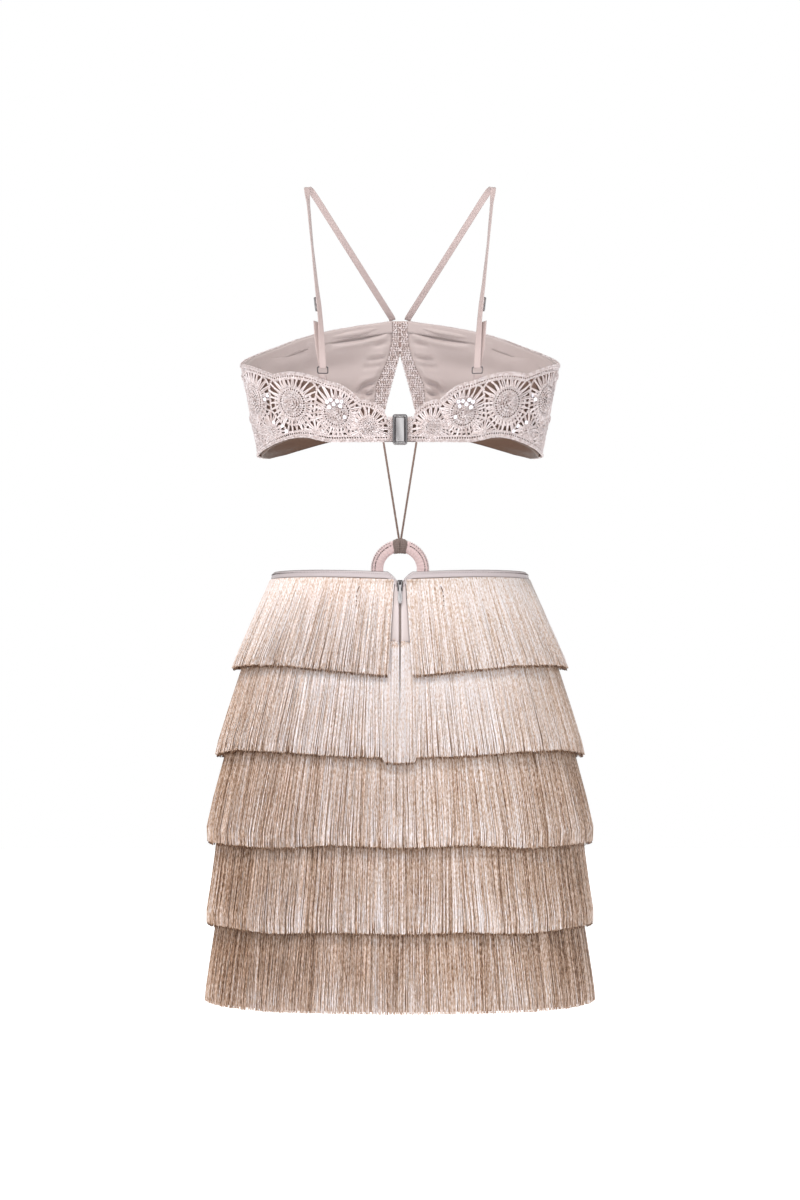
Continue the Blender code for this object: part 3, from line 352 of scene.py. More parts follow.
def turn_table():
    """At each height, the angle at even shares of the way round, and the whole way round."""
    angles, lengths = [], []
    for z in TABLE_HEIGHTS:
        half_width, back, front = skirt_sizes(z)
        depth = np.where(np.cos(TURN) > 0.0, back, front)
        steps = np.hypot(np.diff(half_width * np.sin(TURN)), np.diff(depth * np.cos(TURN)))
        arcs = np.concatenate(([0.0], np.cumsum(steps)))
        angles.append(np.interp(np.linspace(0.0, 1.0, len(TURN)), arcs / arcs[-1], TURN))
        lengths.append(arcs[-1])
    return np.array(angles), np.array(lengths)


TURN_ANGLES, TURN_LENGTHS = turn_table()


def way_round(z):
    """Length of the whole way round the skirt at a height."""
    return float(np.interp(z, TABLE_HEIGHTS, TURN_LENGTHS))


def skirt(share, z, out, split=0.0):
    """Points of the skirt, between the two edges of a split at the zip."""
    share, z, out, split = np.broadcast_arrays(share, z, out, split)
    whole = np.interp(z, TABLE_HEIGHTS, TURN_LENGTHS)
    column = np.clip((split + (whole - 2.0 * split) * share) / whole, 0.0, 1.0) * (len(TURN) - 1)
    row = np.clip((z - TABLE_HEIGHTS[0]) / (TABLE_HEIGHTS[1] - TABLE_HEIGHTS[0]), 0.0, len(TABLE_HEIGHTS) - 1.001)
    i, j = row.astype(int), np.minimum(column.astype(int), len(TURN) - 2)
    u, v = row - i, column - j
    angle = ((1 - u) * ((1 - v) * TURN_ANGLES[i, j] + v * TURN_ANGLES[i, j + 1])
             + u * ((1 - v) * TURN_ANGLES[i + 1, j] + v * TURN_ANGLES[i + 1, j + 1]))
    half_width, back, front = skirt_sizes(z)
    depth = np.where(np.cos(angle) > 0.0, back, front)
    return np.stack([(half_width + out) * np.sin(angle), -(depth + out) * np.cos(angle), z + 0.0 * out], axis=-1)


print("the skirt is", round(way_round(HIP_HEIGHT)), "mm round the hips")

# %% [markdown]
# ## Two ways to make a piece
# Cloth is a thin closed wall between two grids of points. Yarn, thread and fringe are strands: a wire
# of bare edges, which a Geometry Nodes tree turns into round tubes. The tree takes the number of sides
# and the finish as inputs, and each point brings its own thickness.

# %% Cloth walls
def add_piece(name, points, faces, finish_of, body="garment", uvs=None, replaces=(), slot=None, smooth_it=True):
    """One object at the origin, from points in millimetres, which rides on a body."""
    mesh = bpy.data.meshes.new(name)
    mesh.from_pydata(np.asarray(points, dtype=float) * MM, [], faces)
    if uvs is not None:
        layer = mesh.uv_layers.new(name="cloth")
        corners = np.empty(len(mesh.loops), dtype=np.int32)
        mesh.loops.foreach_get("vertex_index", corners)
        layer.uv.foreach_set("vector", np.asarray(uvs, dtype=np.float32)[corners].ravel())
    mesh.materials.append(finish_of)
    if smooth_it:
        mesh.shade_smooth()
    made = bpy.data.objects.new(name, mesh)
    bpy.context.collection.objects.link(made)
    settle(made, body, replaces)
    return made


def settle(made, body, replaces):
    """Says what a piece rides on and which solids it stands for, and hides those solids."""
    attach(made, body)
    if replaces:
        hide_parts(*replaces)


def wall(inner, outer, closed=False):
    """Points and faces of a thin wall between two grids, with its rims, facing outwards."""
    rows, columns = inner.shape[:2]
    points = np.concatenate([inner.reshape(-1, 3), outer.reshape(-1, 3)])
    index = np.arange(rows * columns).reshape(rows, columns)
    if closed:
        index = np.concatenate([index, index[:1]])
    shift = rows * columns
    a, b, c, d = index[:-1, :-1], index[1:, :-1], index[1:, 1:], index[:-1, 1:]
    faces = [np.stack([a, d, c, b], -1).reshape(-1, 4), np.stack([a, b, c, d], -1).reshape(-1, 4) + shift]
    rims = [index[:, 0], index[::-1, -1]]
    if not closed:
        rims += [index[0, ::-1], index[-1, :]]
    for rim in rims:
        faces.append(np.stack([rim[:-1], rim[1:], rim[1:] + shift, rim[:-1] + shift], -1))
    return points, np.concatenate(faces)


def face_outwards(made):
    """Turns a closed mesh's faces outwards."""
    work = bmesh.new()
    work.from_mesh(made.data)
    bmesh.ops.recalc_face_normals(work, faces=work.faces)
    work.to_mesh(made.data)
    work.free()


def cloth(name, place, u, v, low, high, finish_of, closed=False, **facts):
    """A cloth wall over a grid of flat points, with its distances out on the inside and outside."""
    low, high = np.broadcast_to(low, u.shape), np.broadcast_to(high, u.shape)
    points, faces = wall(place(u, v, low), place(u, v, high), closed)
    flat = np.stack([u, v], -1).reshape(-1, 2)
    made = add_piece(name, points, faces, finish_of, uvs=np.concatenate([flat, flat]), **facts)
    face_outwards(made)
    return made


def tube(points, closed=False):
    """Faces of a tube whose rows of points each go round it: a ring, or a length with flat ends."""
    rows, columns = points.shape[:2]
    index = np.arange(rows * columns).reshape(rows, columns)
    a, b = (index, np.roll(index, -1, 0)) if closed else (index[:-1], index[1:])
    faces = np.stack([a, b, np.roll(b, -1, 1), np.roll(a, -1, 1)], -1).reshape(-1, 4).tolist()
    return faces if closed else faces + [index[0].tolist(), index[-1].tolist()]


def blunt(values, power):
    """Sines or cosines raised to a power with their signs kept, which squares off a round section."""
    return np.sign(values) * np.abs(values) ** power


print("faces of a wall over a grid of 3 x 3 points:", len(wall(np.zeros((3, 3, 3)), np.zeros((3, 3, 3)))[1]))

# %% [markdown]
# A strand starts as bare edges between its points. In the nodes tree they become curves, a circle of
# few sides is swept along them, and the result is made real and given its finish. The tube keeps how
# far along and how far round each of its points is, which the yarn's material reads.

# %% Strands by Geometry Nodes
def strand_tree():
    """Bare edges in, round tubes out."""
    tree = bpy.data.node_groups.new("strands", "GeometryNodeTree")
    tree.interface.new_socket("Wire", in_out="INPUT", socket_type="NodeSocketGeometry")
    sides = tree.interface.new_socket("Sides", in_out="INPUT", socket_type="NodeSocketInt")
    stuff = tree.interface.new_socket("Finish", in_out="INPUT", socket_type="NodeSocketMaterial")
    tree.interface.new_socket("Strands", in_out="OUTPUT", socket_type="NodeSocketGeometry")
    given = add(tree, "NodeGroupInput").outputs
    lines = add(tree, "GeometryNodeMeshToCurve", {"Mesh": given["Wire"]}).outputs[0]
    circle = add(tree, "GeometryNodeCurvePrimitiveCircle", {"Resolution": given["Sides"], "Radius": 1.0})
    way_round = add(tree, "GeometryNodeSplineParameter").outputs["Factor"]
    profile = add(tree, "GeometryNodeStoreNamedAttribute", {
        "Geometry": circle.outputs[0], "Name": "around", "Value": way_round}).outputs[0]
    thick = add(tree, "GeometryNodeInputNamedAttribute", {"Name": "thick"}).outputs[0]
    tubes = add(tree, "GeometryNodeCurveToMesh", {
        "Curve": lines, "Profile Curve": profile, "Scale": thick, "Fill Caps": True}).outputs[0]
    whole = add(tree, "GeometryNodeRealizeInstances", {"Geometry": tubes}).outputs[0]
    soft = add(tree, "GeometryNodeSetShadeSmooth", {"Geometry": whole}).outputs[0]
    done = add(tree, "GeometryNodeSetMaterial", {"Geometry": soft, "Material": given["Finish"]}).outputs[0]
    tree.links.new(done, add(tree, "NodeGroupOutput").inputs[0])
    return tree, sides.identifier, stuff.identifier


STRANDS, SIDES_INPUT, FINISH_INPUT = strand_tree()


def run(points, thick, tone=0.5, closed=False):
    """One strand: its points, its radius at each, its tone from 0 to 1, and whether it is a ring."""
    points = np.asarray(points, dtype=float)
    return points, np.broadcast_to(thick, len(points)), np.broadcast_to(tone, len(points)), closed


def strands(name, runs, place, finish_of, sides=4, keep=None, body="garment", replaces=()):
    """Lays runs of flat points on the body and makes them tubes. keep says which points to keep."""
    flat = np.concatenate([r[0] for r in runs])
    sizes = np.array([len(r[0]) for r in runs])
    starts = np.concatenate(([0], np.cumsum(sizes)))[:-1]
    first = np.arange(len(flat))
    last = np.zeros(len(flat), dtype=bool)
    last[starts + sizes - 1] = True
    edges = np.stack([first[~last], first[~last] + 1], -1)
    rings = [(s + n - 1, s) for s, n, r in zip(starts, sizes, runs) if r[3]]
    if rings:
        edges = np.concatenate([edges, np.array(rings)])
    if keep is not None:
        kept = keep(flat[:, 0], flat[:, 1])
        edges = edges[kept[edges].all(axis=1)]
    points = place(flat[:, 0], flat[:, 1], flat[:, 2]) if place else flat
    steps = np.linalg.norm(np.diff(points, axis=0, prepend=points[:1]), axis=1)
    steps[starts] = 0.0
    along = np.cumsum(steps)
    used, compact = np.unique(edges, return_inverse=True)
    wire = bpy.data.meshes.new(name)
    wire.from_pydata(points[used] * MM, compact.reshape(-1, 2), [])
    for label, values in (("thick", np.concatenate([r[1] for r in runs]) * MM), ("along", along),
                          ("tone", np.concatenate([r[2] for r in runs]))):
        wire.attributes.new(label, "FLOAT", "POINT").data.foreach_set("value", values[used].astype(np.float32))
    made = bpy.data.objects.new(name, wire)
    bpy.context.collection.objects.link(made)
    modifier = made.modifiers.new("strands", "NODES")
    modifier.node_group = STRANDS
    modifier[SIDES_INPUT] = sides
    modifier[FINISH_INPUT] = finish_of
    tubes = bpy.data.meshes.new_from_object(made.evaluated_get(bpy.context.evaluated_depsgraph_get()))
    made.modifiers.clear()
    made.data = tubes
    bpy.data.meshes.remove(wire)
    tubes.name = name
    settle(made, body, replaces)
    print(name, "strands:", len(runs), "faces:", len(tubes.polygons))
    return made


# %% [markdown]
# ## Patterns of the bralette
# The wings' top edge runs in four scallops down to the clasp, the front's top edge rises to the centre,
# and the keyhole's trim leans outwards. Each edge is a short table of angles and heights.

# %% Edges of the wings and cups
WING_SCALLOPS = (
    # start angle, end angle, start height, end height, rise
    (0.0, 37.4, -179.0, -190.9, 4.5),
    (37.4, 63.1, -190.9, -199.2, 5.3),
    (63.1, 75.1, -199.2, -217.7, 4.1),
    (75.1, 84.0, -217.7, -227.5, 3.1),
)
WING_BOTTOM = ((0.0, -270.0), (10.9, -267.7), (22.7, -262.4), (33.4, -257.4), (41.4, -253.8), (47.6, -252.5),
               (52.4, -253.3), (56.2, -255.7), (61.3, -258.1), (90.0, -258.4))
CUP_TOP = ((0.0, -179.0), (24.5, -166.6), (39.2, -157.2), (50.2, -148.2), (59.1, -141.6), (66.7, -137.3),
           (75.2, -133.2), (83.4, -130.1), (87.4, -128.2))
CUP_BOTTOM = ((0.0, -270.0), (18.6, -270.9), (34.1, -266.1), (45.2, -260.4), (54.7, -254.9), (60.5, -251.6),
              (79.0, -248.8))
TRIM_EDGE = ((79.0, -248.8), (79.9, -222.0), (80.6, -205.1), (81.0, -193.9), (82.3, -186.0), (84.4, -174.7),
             (86.0, -163.6), (87.2, -149.4), (87.4, -128.2))
KEYHOLE_EDGE = ((83.7, -248.8), (83.8, -221.5), (90.0, -162.1), (90.0, -128.2))


def scallops():
    """Points of the wing's scalloped edge, as length along and height."""
    points = []
    for start, end, first, last, rise in WING_SCALLOPS:
        for t in np.linspace(0.0, 1.0, 13)[:-1]:
            points.append((arc_at(start + (end - start) * t),
                           first + (last - first) * t + rise * math.sin(math.pi * t)))
    points += [(arc_at(84.0), -227.5), (arc_at(84.8), -234.4), (BAND_ARC, -234.4)]
    return np.array(points)


def on_arc(table):
    """A table of angles and heights, with lengths along the band for the angles."""
    return np.array([(arc_at(angle), height) for angle, height in table])


def curve(table):
    """A function that gives the height of an edge at a length along."""
    return lambda arc: np.interp(arc, table[:, 0], table[:, 1])


WING_EDGE = scallops()
wing_top, wing_bottom = curve(WING_EDGE), curve(on_arc(WING_BOTTOM))
cup_top, cup_bottom = curve(on_arc(CUP_TOP)), curve(on_arc(CUP_BOTTOM))
TRIM_LINE, KEYHOLE_LINE = on_arc(TRIM_EDGE), on_arc(KEYHOLE_EDGE)


def cup_edge(z):
    """Length along the band at which a cup ends, at a height."""
    return np.interp(z, TRIM_LINE[:, 1], TRIM_LINE[:, 0])


def keyhole_edge(z):
    """Length along the band at which the keyhole's trim ends, at a height."""
    return np.interp(z, KEYHOLE_LINE[:, 1], KEYHOLE_LINE[:, 0])


def wing_grid(columns, rows, setback):
    """Grid of flat points over a wing."""
    arcs = np.unique(np.concatenate([np.linspace(0.15, BAND_ARC - 0.3, columns), WING_EDGE[1:-1, 0]]))
    t = np.linspace(0.0, 1.0, rows)
    low, high = wing_bottom(arcs)[:, None], (wing_top(arcs) - setback)[:, None]
    return np.repeat(arcs[:, None], rows, axis=1), low + (high - low) * t


def cup_grid(columns, rows):
    """Grid of flat points over a cup: its right-hand side follows the trim."""
    s = np.linspace(0.0, 1.0, columns)[:, None]
    t = np.linspace(0.0, 1.0, rows)[None, :]
    low_arc, high_arc = s * TRIM_LINE[0, 0], s * TRIM_LINE[-1, 0]
    low, high = cup_bottom(low_arc), cup_top(high_arc)
    arc = low_arc + (high_arc - low_arc) * t
    z = low + (high - low) * t
    edge_z = TRIM_LINE[0, 1] + (TRIM_LINE[-1, 1] - TRIM_LINE[0, 1]) * t
    arc = arc + s ** 3 * (cup_edge(edge_z) - 0.21 - arc[-1:])
    return np.maximum(arc, 0.15), z + 0.0 * arc


print("grid over a cup:", cup_grid(60, 40)[0].shape)

# %% [markdown]
# ## Linings of the bralette
# The front is lined with plain woven cloth, whose inner face shows above the wings. It is a little
# larger than the crochet, so it puckers into soft creases that run out from the keyhole. A wall over
# the flat grid stands slightly inwards, and each crease is a trough that sinks back to the crochet.

# %% Linings with their creases
CREASES = (
    # points of the crease as distance from the centre and height, then its depth and its width
    (((14.8, -137.7), (38.8, -145.4), (71.5, -150.5)), 2.2, 3.2),
    (((12.3, -150.5), (28.6, -153.5)), 1.0, 2.6),
    (((13.3, -165.3), (34.7, -168.9)), 1.7, 2.8),
    (((15.3, -171.9), (38.8, -176.0)), 1.2, 3.0),
    (((22.5, -189.3), (36.8, -193.9), (43.9, -201.6)), 3.0, 3.4),
    (((26.6, -200.5), (42.9, -203.6)), 2.6, 3.0),
    (((34.7, -168.9), (102.0, -180.0)), 0.9, 9.0),
    (((102.0, -157.6), (132.8, -163.7)), 1.1, 7.0),
    (((48.0, -205.0), (96.0, -199.0), (120.0, -183.0)), 1.0, 8.0),
    (((18.0, -216.0), (52.0, -221.0)), 1.6, 4.5),
    (((60.0, -240.0), (104.0, -226.0)), 1.2, 7.0),
)
CREASE_SETBACK = 2.6


def near_line(x, z, line):
    """Distance to a bent line, and how far along it each point lies, from 0 to 1."""
    best = np.full(np.shape(x), 1e9)
    part = np.zeros(np.shape(x))
    pieces = len(line) - 1
    for k in range(pieces):
        (x1, z1), (x2, z2) = line[k], line[k + 1]
        length = (x2 - x1) ** 2 + (z2 - z1) ** 2
        t = np.clip(((x - x1) * (x2 - x1) + (z - z1) * (z2 - z1)) / length, 0.0, 1.0)
        away = np.hypot(x - x1 - t * (x2 - x1), z - z1 - t * (z2 - z1))
        part = np.where(away < best, (k + t) / pieces, part)
        best = np.minimum(best, away)
    return best, part


def creased(arc, z, setback):
    """How far the lining stands inwards at flat points of a cup."""
    x = np.abs(band(FRONT, 1.0)(arc, z, 0.0)[..., 0])
    puff = setback * (0.75 + 0.25 * np.sin(0.11 * x + 0.07 * z))
    for line, depth, width in CREASES:
        away, part = near_line(x, z, line)
        fade = np.sqrt(np.clip(np.sin(math.pi * np.clip(0.12 + 0.88 * part, 0.0, 1.0)), 0.0, 1.0))
        puff = puff - 2.1 * depth * fade * (np.exp(-(away / width / 0.8) ** 2)
                                       - 0.5 * np.exp(-((away / width - 1.7) / 0.8) ** 2))
    edge = np.minimum(cup_top(arc) - z, cup_edge(z) - arc)
    rim = smooth((np.minimum(edge, z - cup_bottom(arc)) - 0.5) / 7.0)
    return -np.clip(puff, -0.7, 6.0) * rim


def build_linings():
    for name, side in SIDES:
        u, v = cup_grid(84, 60)
        inward = creased(u, v, CREASE_SETBACK)
        made = cloth(f"cup_lining_cloth_{name}", band(FRONT, side), u, v, inward, inward + 1.2, LINING_CLOTH,
                     replaces=[f"cup_lining_{name}"], slot="woven_lining")
        u, v = wing_grid(70, 22, 1.8)
        soft = 0.35 * np.sin(0.09 * u + 0.2 * v) * smooth((wing_top(u) - 1.8 - v) / 8.0)
        made = cloth(f"wing_lining_cloth_{name}", band(BACK, side), u, v, soft - 1.3, soft - 0.2, SHADED_BACK_LINING,
                     replaces=[f"wing_lining_{name}"], slot="woven_lining")
    print("linings made, creases on each cup:", len(CREASES))


build_linings()

# %% [markdown]
# The cup's top edge is turned in and stitched down: a facing about 12 mm deep, with a row of small
# stitches along its foot.

# %% Facings of the cups
def build_facings():
    for name, side in SIDES:
        arcs = np.linspace(1.0, arc_at(87.3), 120)[:, None]
        t = np.linspace(0.0, 1.0, 7)[None, :]
        u = arcs + 0.0 * t
        v = cup_top(arcs) - 12.0 * (1.0 - t) - 0.2 * t
        ripple = 0.12 * np.sin(0.9 * arcs) * (1.0 - t)
        made = cloth(f"cup_facing_cloth_{name}", band(FRONT, side), u, v, -1.9 + ripple, -1.0 + ripple, LINING_CLOTH,
                     replaces=[f"cup_facing_{name}"], slot="woven_lining")
        stitches = []
        for arc in np.arange(2.0, float(arc_at(87.0)), 2.6):
            foot = float(cup_top(arc)) - 10.8
            stitches.append(run([(arc, foot, -1.95), (arc + 0.8, foot + 0.1, -2.2), (arc + 1.7, foot, -1.95)], 0.22))
        strands(f"facing_stitches_{name}", stitches, band(FRONT, side), THREAD, sides=3)


build_facings()

# %% [markdown]
# ## Crochet
# All of it is made of three stitches. A chain is two strands that cross at each stitch. A post is one
# short strand between two chains, and posts about 2.5 mm apart leave the small dark holes that make
# the lace. A bobble is a small loop that stands up from the cloth, and bobbles side by side make it
# dense and bumpy.

# %% Stitches
CHAIN_PITCH = 2.7
YARN = 0.6


def evenly(points, step, closed=False):
    """Points at even steps along a line, and the sideways direction at each."""
    points = np.asarray(points, dtype=float)
    if closed:
        points = np.concatenate([points, points[:1]])
    lengths = np.concatenate(([0.0], np.cumsum(np.linalg.norm(np.diff(points, axis=0), axis=1))))
    count = max(2, int(round(lengths[-1] / step)) + 1)
    s = np.linspace(0.0, lengths[-1], count)
    if closed:
        s = s[:-1]
    line = np.stack([np.interp(s, lengths, points[:, k]) for k in (0, 1)], -1)
    ahead = np.roll(line, -1, axis=0) - np.roll(line, 1, axis=0)
    if not closed:
        ahead[0], ahead[-1] = line[1] - line[0], line[-1] - line[-2]
    ahead /= np.maximum(np.linalg.norm(ahead, axis=1, keepdims=True), 1e-9)
    return line, np.stack([-ahead[:, 1], ahead[:, 0]], -1)


def chain(points, out, rng, closed=False, width=0.8, yarn=YARN, pitch=CHAIN_PITCH, tone=(0.3, 1.0)):
    """Two strands that cross at each stitch, along a flat line."""
    line, aside = evenly(points, pitch / 3.0, closed)
    phase = np.arange(len(line)) * math.tau / 3.0 + rng.uniform(0.0, 2.0)
    jitter = rng.normal(0.0, 0.12, len(line))
    made = []
    for way in (-1.0, 1.0):
        sway = way * width * (0.6 + 0.4 * np.cos(phase)) + jitter
        rise = out + 0.5 * width * np.sin(phase) * way
        flat = line + aside * sway[:, None]
        made.append(run(np.column_stack([flat, rise]), yarn * rng.uniform(0.9, 1.1, len(line)),
                        rng.uniform(*tone, len(line)), closed))
    return made


def posts(starts, ends, out, rng, yarn=YARN, lift=0.5, sway=0.25):
    """Short strands from each start to its end, raised at the middle."""
    made = []
    for a, b in zip(starts, ends):
        middle = (np.asarray(a) + np.asarray(b)) / 2 + rng.normal(0.0, sway, 2)
        flat = [(*a, out), (*middle, out + lift), (*b, out)]
        made.append(run(flat, yarn * rng.uniform(0.85, 1.15), rng.uniform(0.25, 1.0)))
    return made


def bobbles(points, aside, out, rng, reach=1.0, yarn=YARN, width=1.0):
    """A small loop that stands up at each point, across the line that the points follow."""
    made = []
    for point, way in zip(points, aside):
        turn = rng.normal(0.0, 0.45)
        way = np.array([way[0] * math.cos(turn) - way[1] * math.sin(turn),
                        way[0] * math.sin(turn) + way[1] * math.cos(turn)])
        along = np.array([-way[1], way[0]]) * width * 0.5
        flat = [(*(point - way * reach - along), out - 0.3), (*(point + way * reach * 0.2 - along * 1.2), out + 0.8),
                (*(point + way * reach), out + 0.5), (*(point + way * reach * 0.1 + along * 1.3), out + 0.9),
                (*(point - way * reach + along), out - 0.3)]
        made.append(run(flat, yarn * rng.uniform(0.85, 1.1), rng.uniform(0.3, 1.0)))
    return made


def circle(centre, radius, count, turn=0.0):
    """Points round a circle, and the way outwards at each."""
    angles = turn + np.arange(count) * math.tau / count
    way = np.stack([np.cos(angles), np.sin(angles)], -1)
    return np.asarray(centre) + radius * way, way


print("stitch pitch, mm:", CHAIN_PITCH, "yarn, mm:", 2 * YARN)

# %% [markdown]
# A medallion is a dense round of bobbles, a ring of small holes, a chain and a rim of little petals.
# From its rim spokes run out to where the next motif or the edging begins, and a cord closes them off
# there. The reach of a spoke is found by stepping outwards until a neighbour or an edging is nearer.

# %% Medallions and their spokes
def medallion(centre, radius, out, rng, spacing=2.15, pitch=CHAIN_PITCH):
    """A round motif on a slight dome."""
    made = []
    for radius_share in (0.10, 0.27, 0.44, 0.60):
        reach = radius_share * radius
        points, way = circle(centre, reach, max(4, int(math.tau * reach / spacing)), rng.uniform(0.0, math.tau))
        made += bobbles(points, way, out + 1.1 * (1.0 - radius_share ** 2) - 0.1, rng, 0.092 * radius, YARN * 0.95)
    count = int(math.tau * 0.8 * radius / 2.4)
    starts, ends = circle(centre, radius * 0.68, count)[0], circle(centre, radius * 0.90, count, 0.05)[0]
    made += posts(starts, ends, out + 0.1, rng, YARN * 0.95, 0.4, 0.1)
    made += chain(circle(centre, radius * 0.70, 60)[0], out + 0.35, rng, True, 0.6, pitch=pitch)
    made += chain(circle(centre, radius * 0.90, 72)[0], out + 0.2, rng, True, 0.8, pitch=pitch)
    points, way = circle(centre, radius * 0.98, int(math.tau * radius / 2.6), rng.uniform(0.0, 1.0))
    made += bobbles(points, way, out - 0.2, rng, 0.9, YARN * 0.9)
    return made


def reach_round(medallions, index, allowed, furthest=15.0, count=90):
    """How far out from a medallion its spokes may go, all the way round."""
    centre, radius = medallions[index]
    steps = np.arange(0.0, furthest, 0.4)
    way = circle((0.0, 0.0), 1.0, count)[0]
    points = np.asarray(centre) + way[:, None, :] * (radius + steps)[None, :, None]
    good = allowed(points[..., 0], points[..., 1])
    for other, (place, size) in enumerate(medallions):
        if other != index:
            gap = np.hypot(points[..., 0] - place[0], points[..., 1] - place[1]) - size
            good &= gap > steps[None, :]
    first_bad = np.where(good.all(axis=1), len(steps), np.argmin(good, axis=1))
    return way, steps[np.maximum(first_bad, 1) - 1]


def spokes(medallions, index, allowed, out, rng, spacing, pitch=CHAIN_PITCH, thick=1.15):
    """Spokes from a medallion's rim, a ring half way out and the cord that joins their ends."""
    centre, radius = medallions[index]
    way, reach = reach_round(medallions, index, allowed)
    made = []
    angles = np.linspace(0.0, math.tau, len(reach), endpoint=False)
    middle = np.clip(reach * 0.5, 1.2, 4.2)
    upper = (np.sin(angles) > 0.35) & (reach > 3.0)
    for k, angle in enumerate(np.arange(0.0, math.tau, spacing / (radius + 3.0))):
        length = float(np.interp(angle, angles, reach, period=math.tau))
        if length < 1.4:
            continue
        lean = (0.05 if k % 2 else -0.05) * min(length, 9.0) / 9.0 + rng.normal(0.0, 0.02)
        near = np.array([math.cos(angle), math.sin(angle)])
        far = np.array([math.cos(angle + lean), math.sin(angle + lean)])
        a, b = np.asarray(centre) + near * (radius - 0.4), np.asarray(centre) + far * (radius + length - 0.2)
        made += posts([a], [b], out - 0.1, rng, YARN * thick, 0.35, 0.45)
    rim = np.asarray(centre) + way * (radius + reach)[:, None]
    made += chain(rim, out - 0.3, rng, True, 0.75, pitch=pitch)
    ring = np.asarray(centre) + way * (radius + middle)[:, None]
    for part in np.split(np.arange(len(ring)), np.flatnonzero(np.diff((upper | (reach < 2.4)).astype(int))) + 1):
        if len(part) > 3 and not upper[part[0]] and reach[part[0]] >= 2.4:
            made += chain(ring[part], out - 0.1, rng, False, 0.85, pitch=pitch)
            points, aside = evenly(ring[part], 2.3)
            made += bobbles(points, aside, out - 0.2, rng, 1.1, YARN * 0.9)
    return made


def motifs(table):
    """Centres as flat points, and radii, from a table of angles, heights and radii."""
    return [((float(arc_at(angle)), height), radius) for angle, height, radius in table]


print("strands in a medallion of 17 mm radius:", len(medallion((0.0, 0.0), 17.0, 0.0, np.random.default_rng(1))))

# %% [markdown]
# A double edging follows each scalloped edge: a thick rope of bobbles on the very edge, then a chain,
# posts that leave a dotted row of holes, and another chain. A plainer border runs along the bottom.

# %% Edgings
EDGING_DEPTH = 5.8


def offset_line(edge, down, start, end, step=1.5):
    """A line a fixed way above or below an edge."""
    arcs = np.arange(start, end, step)
    return np.stack([arcs, edge(arcs) + down], -1)


def edging(edge, sign, out, rng, start, end):
    """Rope, chain, posts and chain along an edge; sign is -1 below a top edge and 1 above a bottom one."""
    made = []
    for down, spacing, yarn in ((0.35, 1.7, 0.95), (1.7, 2.0, 0.95)):
        points, aside = evenly(offset_line(edge, sign * down, start, end), spacing)
        made += bobbles(points, aside * -sign, out + 0.5, rng, 0.85, YARN * yarn, 0.9)
    made += chain(offset_line(edge, sign * 2.3, start, end), out + 0.2, rng, width=0.6)
    made += chain(offset_line(edge, sign * 5.4, start, end), out + 0.2, rng, width=0.7)
    tops, _ = evenly(offset_line(edge, sign * 2.8, start, end), 2.7)
    feet, _ = evenly(offset_line(edge, sign * 5.0, start, end), 2.7)
    count = min(len(tops), len(feet))
    return made + posts(tops[:count], feet[:count], out + 0.1, rng, YARN * 1.1, 0.3, 0.1)


print("an edging is", EDGING_DEPTH, "mm deep")

# %% [markdown]
# On each wing a row of four large medallions follows the scalloped top, with small ones between them
# and the bottom edge. The rest is filled by their spokes. The tab at the clasp is solid rows of bobbles.

# %% Crochet of the wings
CROCHET_OUT = 2.9
WING_MEDALLIONS = (
    # angle, height, radius
    (17.5, -213.8, 17.0),
    (45.5, -219.4, 17.0),
    (65.4, -229.6, 15.5),
    (77.6, -244.0, 11.0),
    (13.5, -248.0, 11.5),
    (30.5, -245.5, 7.5),
    (3.5, -190.5, 4.5),
    (2.5, -233.0, 5.0),
    (55.8, -247.5, 3.6),
)
CLASP_TAB = 11.5


def build_wing(name, side, seed):
    rng = np.random.default_rng(seed)
    out = CROCHET_OUT
    places = motifs(WING_MEDALLIONS)

    def allowed(arc, z):
        inside = (arc > 2.0) & (arc < BAND_ARC - CLASP_TAB)
        return inside & (z > wing_bottom(arc) + EDGING_DEPTH) & (z < wing_top(arc) - EDGING_DEPTH)

    runs = edging(wing_top, -1.0, out, rng, 1.0, BAND_ARC - CLASP_TAB - 1.0)
    runs += edging(wing_bottom, 1.0, out, rng, 1.0, BAND_ARC - CLASP_TAB)
    for index, (centre, radius) in enumerate(places):
        runs += medallion(centre, radius, out, rng)
        runs += spokes(places, index, allowed, out, rng, 2.1, thick=1.6)
    for arc in np.arange(BAND_ARC - CLASP_TAB, BAND_ARC - 1.6, 1.9):
        line = np.stack([np.full(13, arc), np.linspace(-257.8, -234.9, 13)], -1)
        points, aside = evenly(line, 1.9)
        runs += bobbles(points, aside, out - 0.2, rng, 0.95, YARN * 0.95)
    strands(f"wing_yarn_{name}", runs, band(BACK, side), COTTON, sides=3,
            keep=lambda arc, z: (arc > 0.6) & (arc < BAND_ARC - 0.9) & (z < wing_top(arc) + 1.0),
            replaces=[f"wing_crochet_{name}"])


for seed, (name, side) in enumerate(SIDES):
    build_wing(name, side, 11 + seed)

# %% [markdown]
# The cups have the same lace with more medallions. It faces away from the camera, so its stitches are
# made a little wider apart, which saves many small faces.

# %% Crochet of the cups
CUP_MEDALLIONS = (
    # angle, height, radius
    (13.0, -216.0, 17.0),
    (31.5, -224.0, 17.5),
    (48.5, -222.0, 18.0),
    (63.0, -213.0, 18.5),
    (30.0, -181.0, 11.5),
    (45.5, -180.0, 14.5),
    (59.5, -168.0, 15.5),
    (73.0, -160.0, 15.0),
    (73.5, -234.0, 9.5),
    (11.0, -250.0, 10.0),
    (75.0, -190.0, 8.0),
)


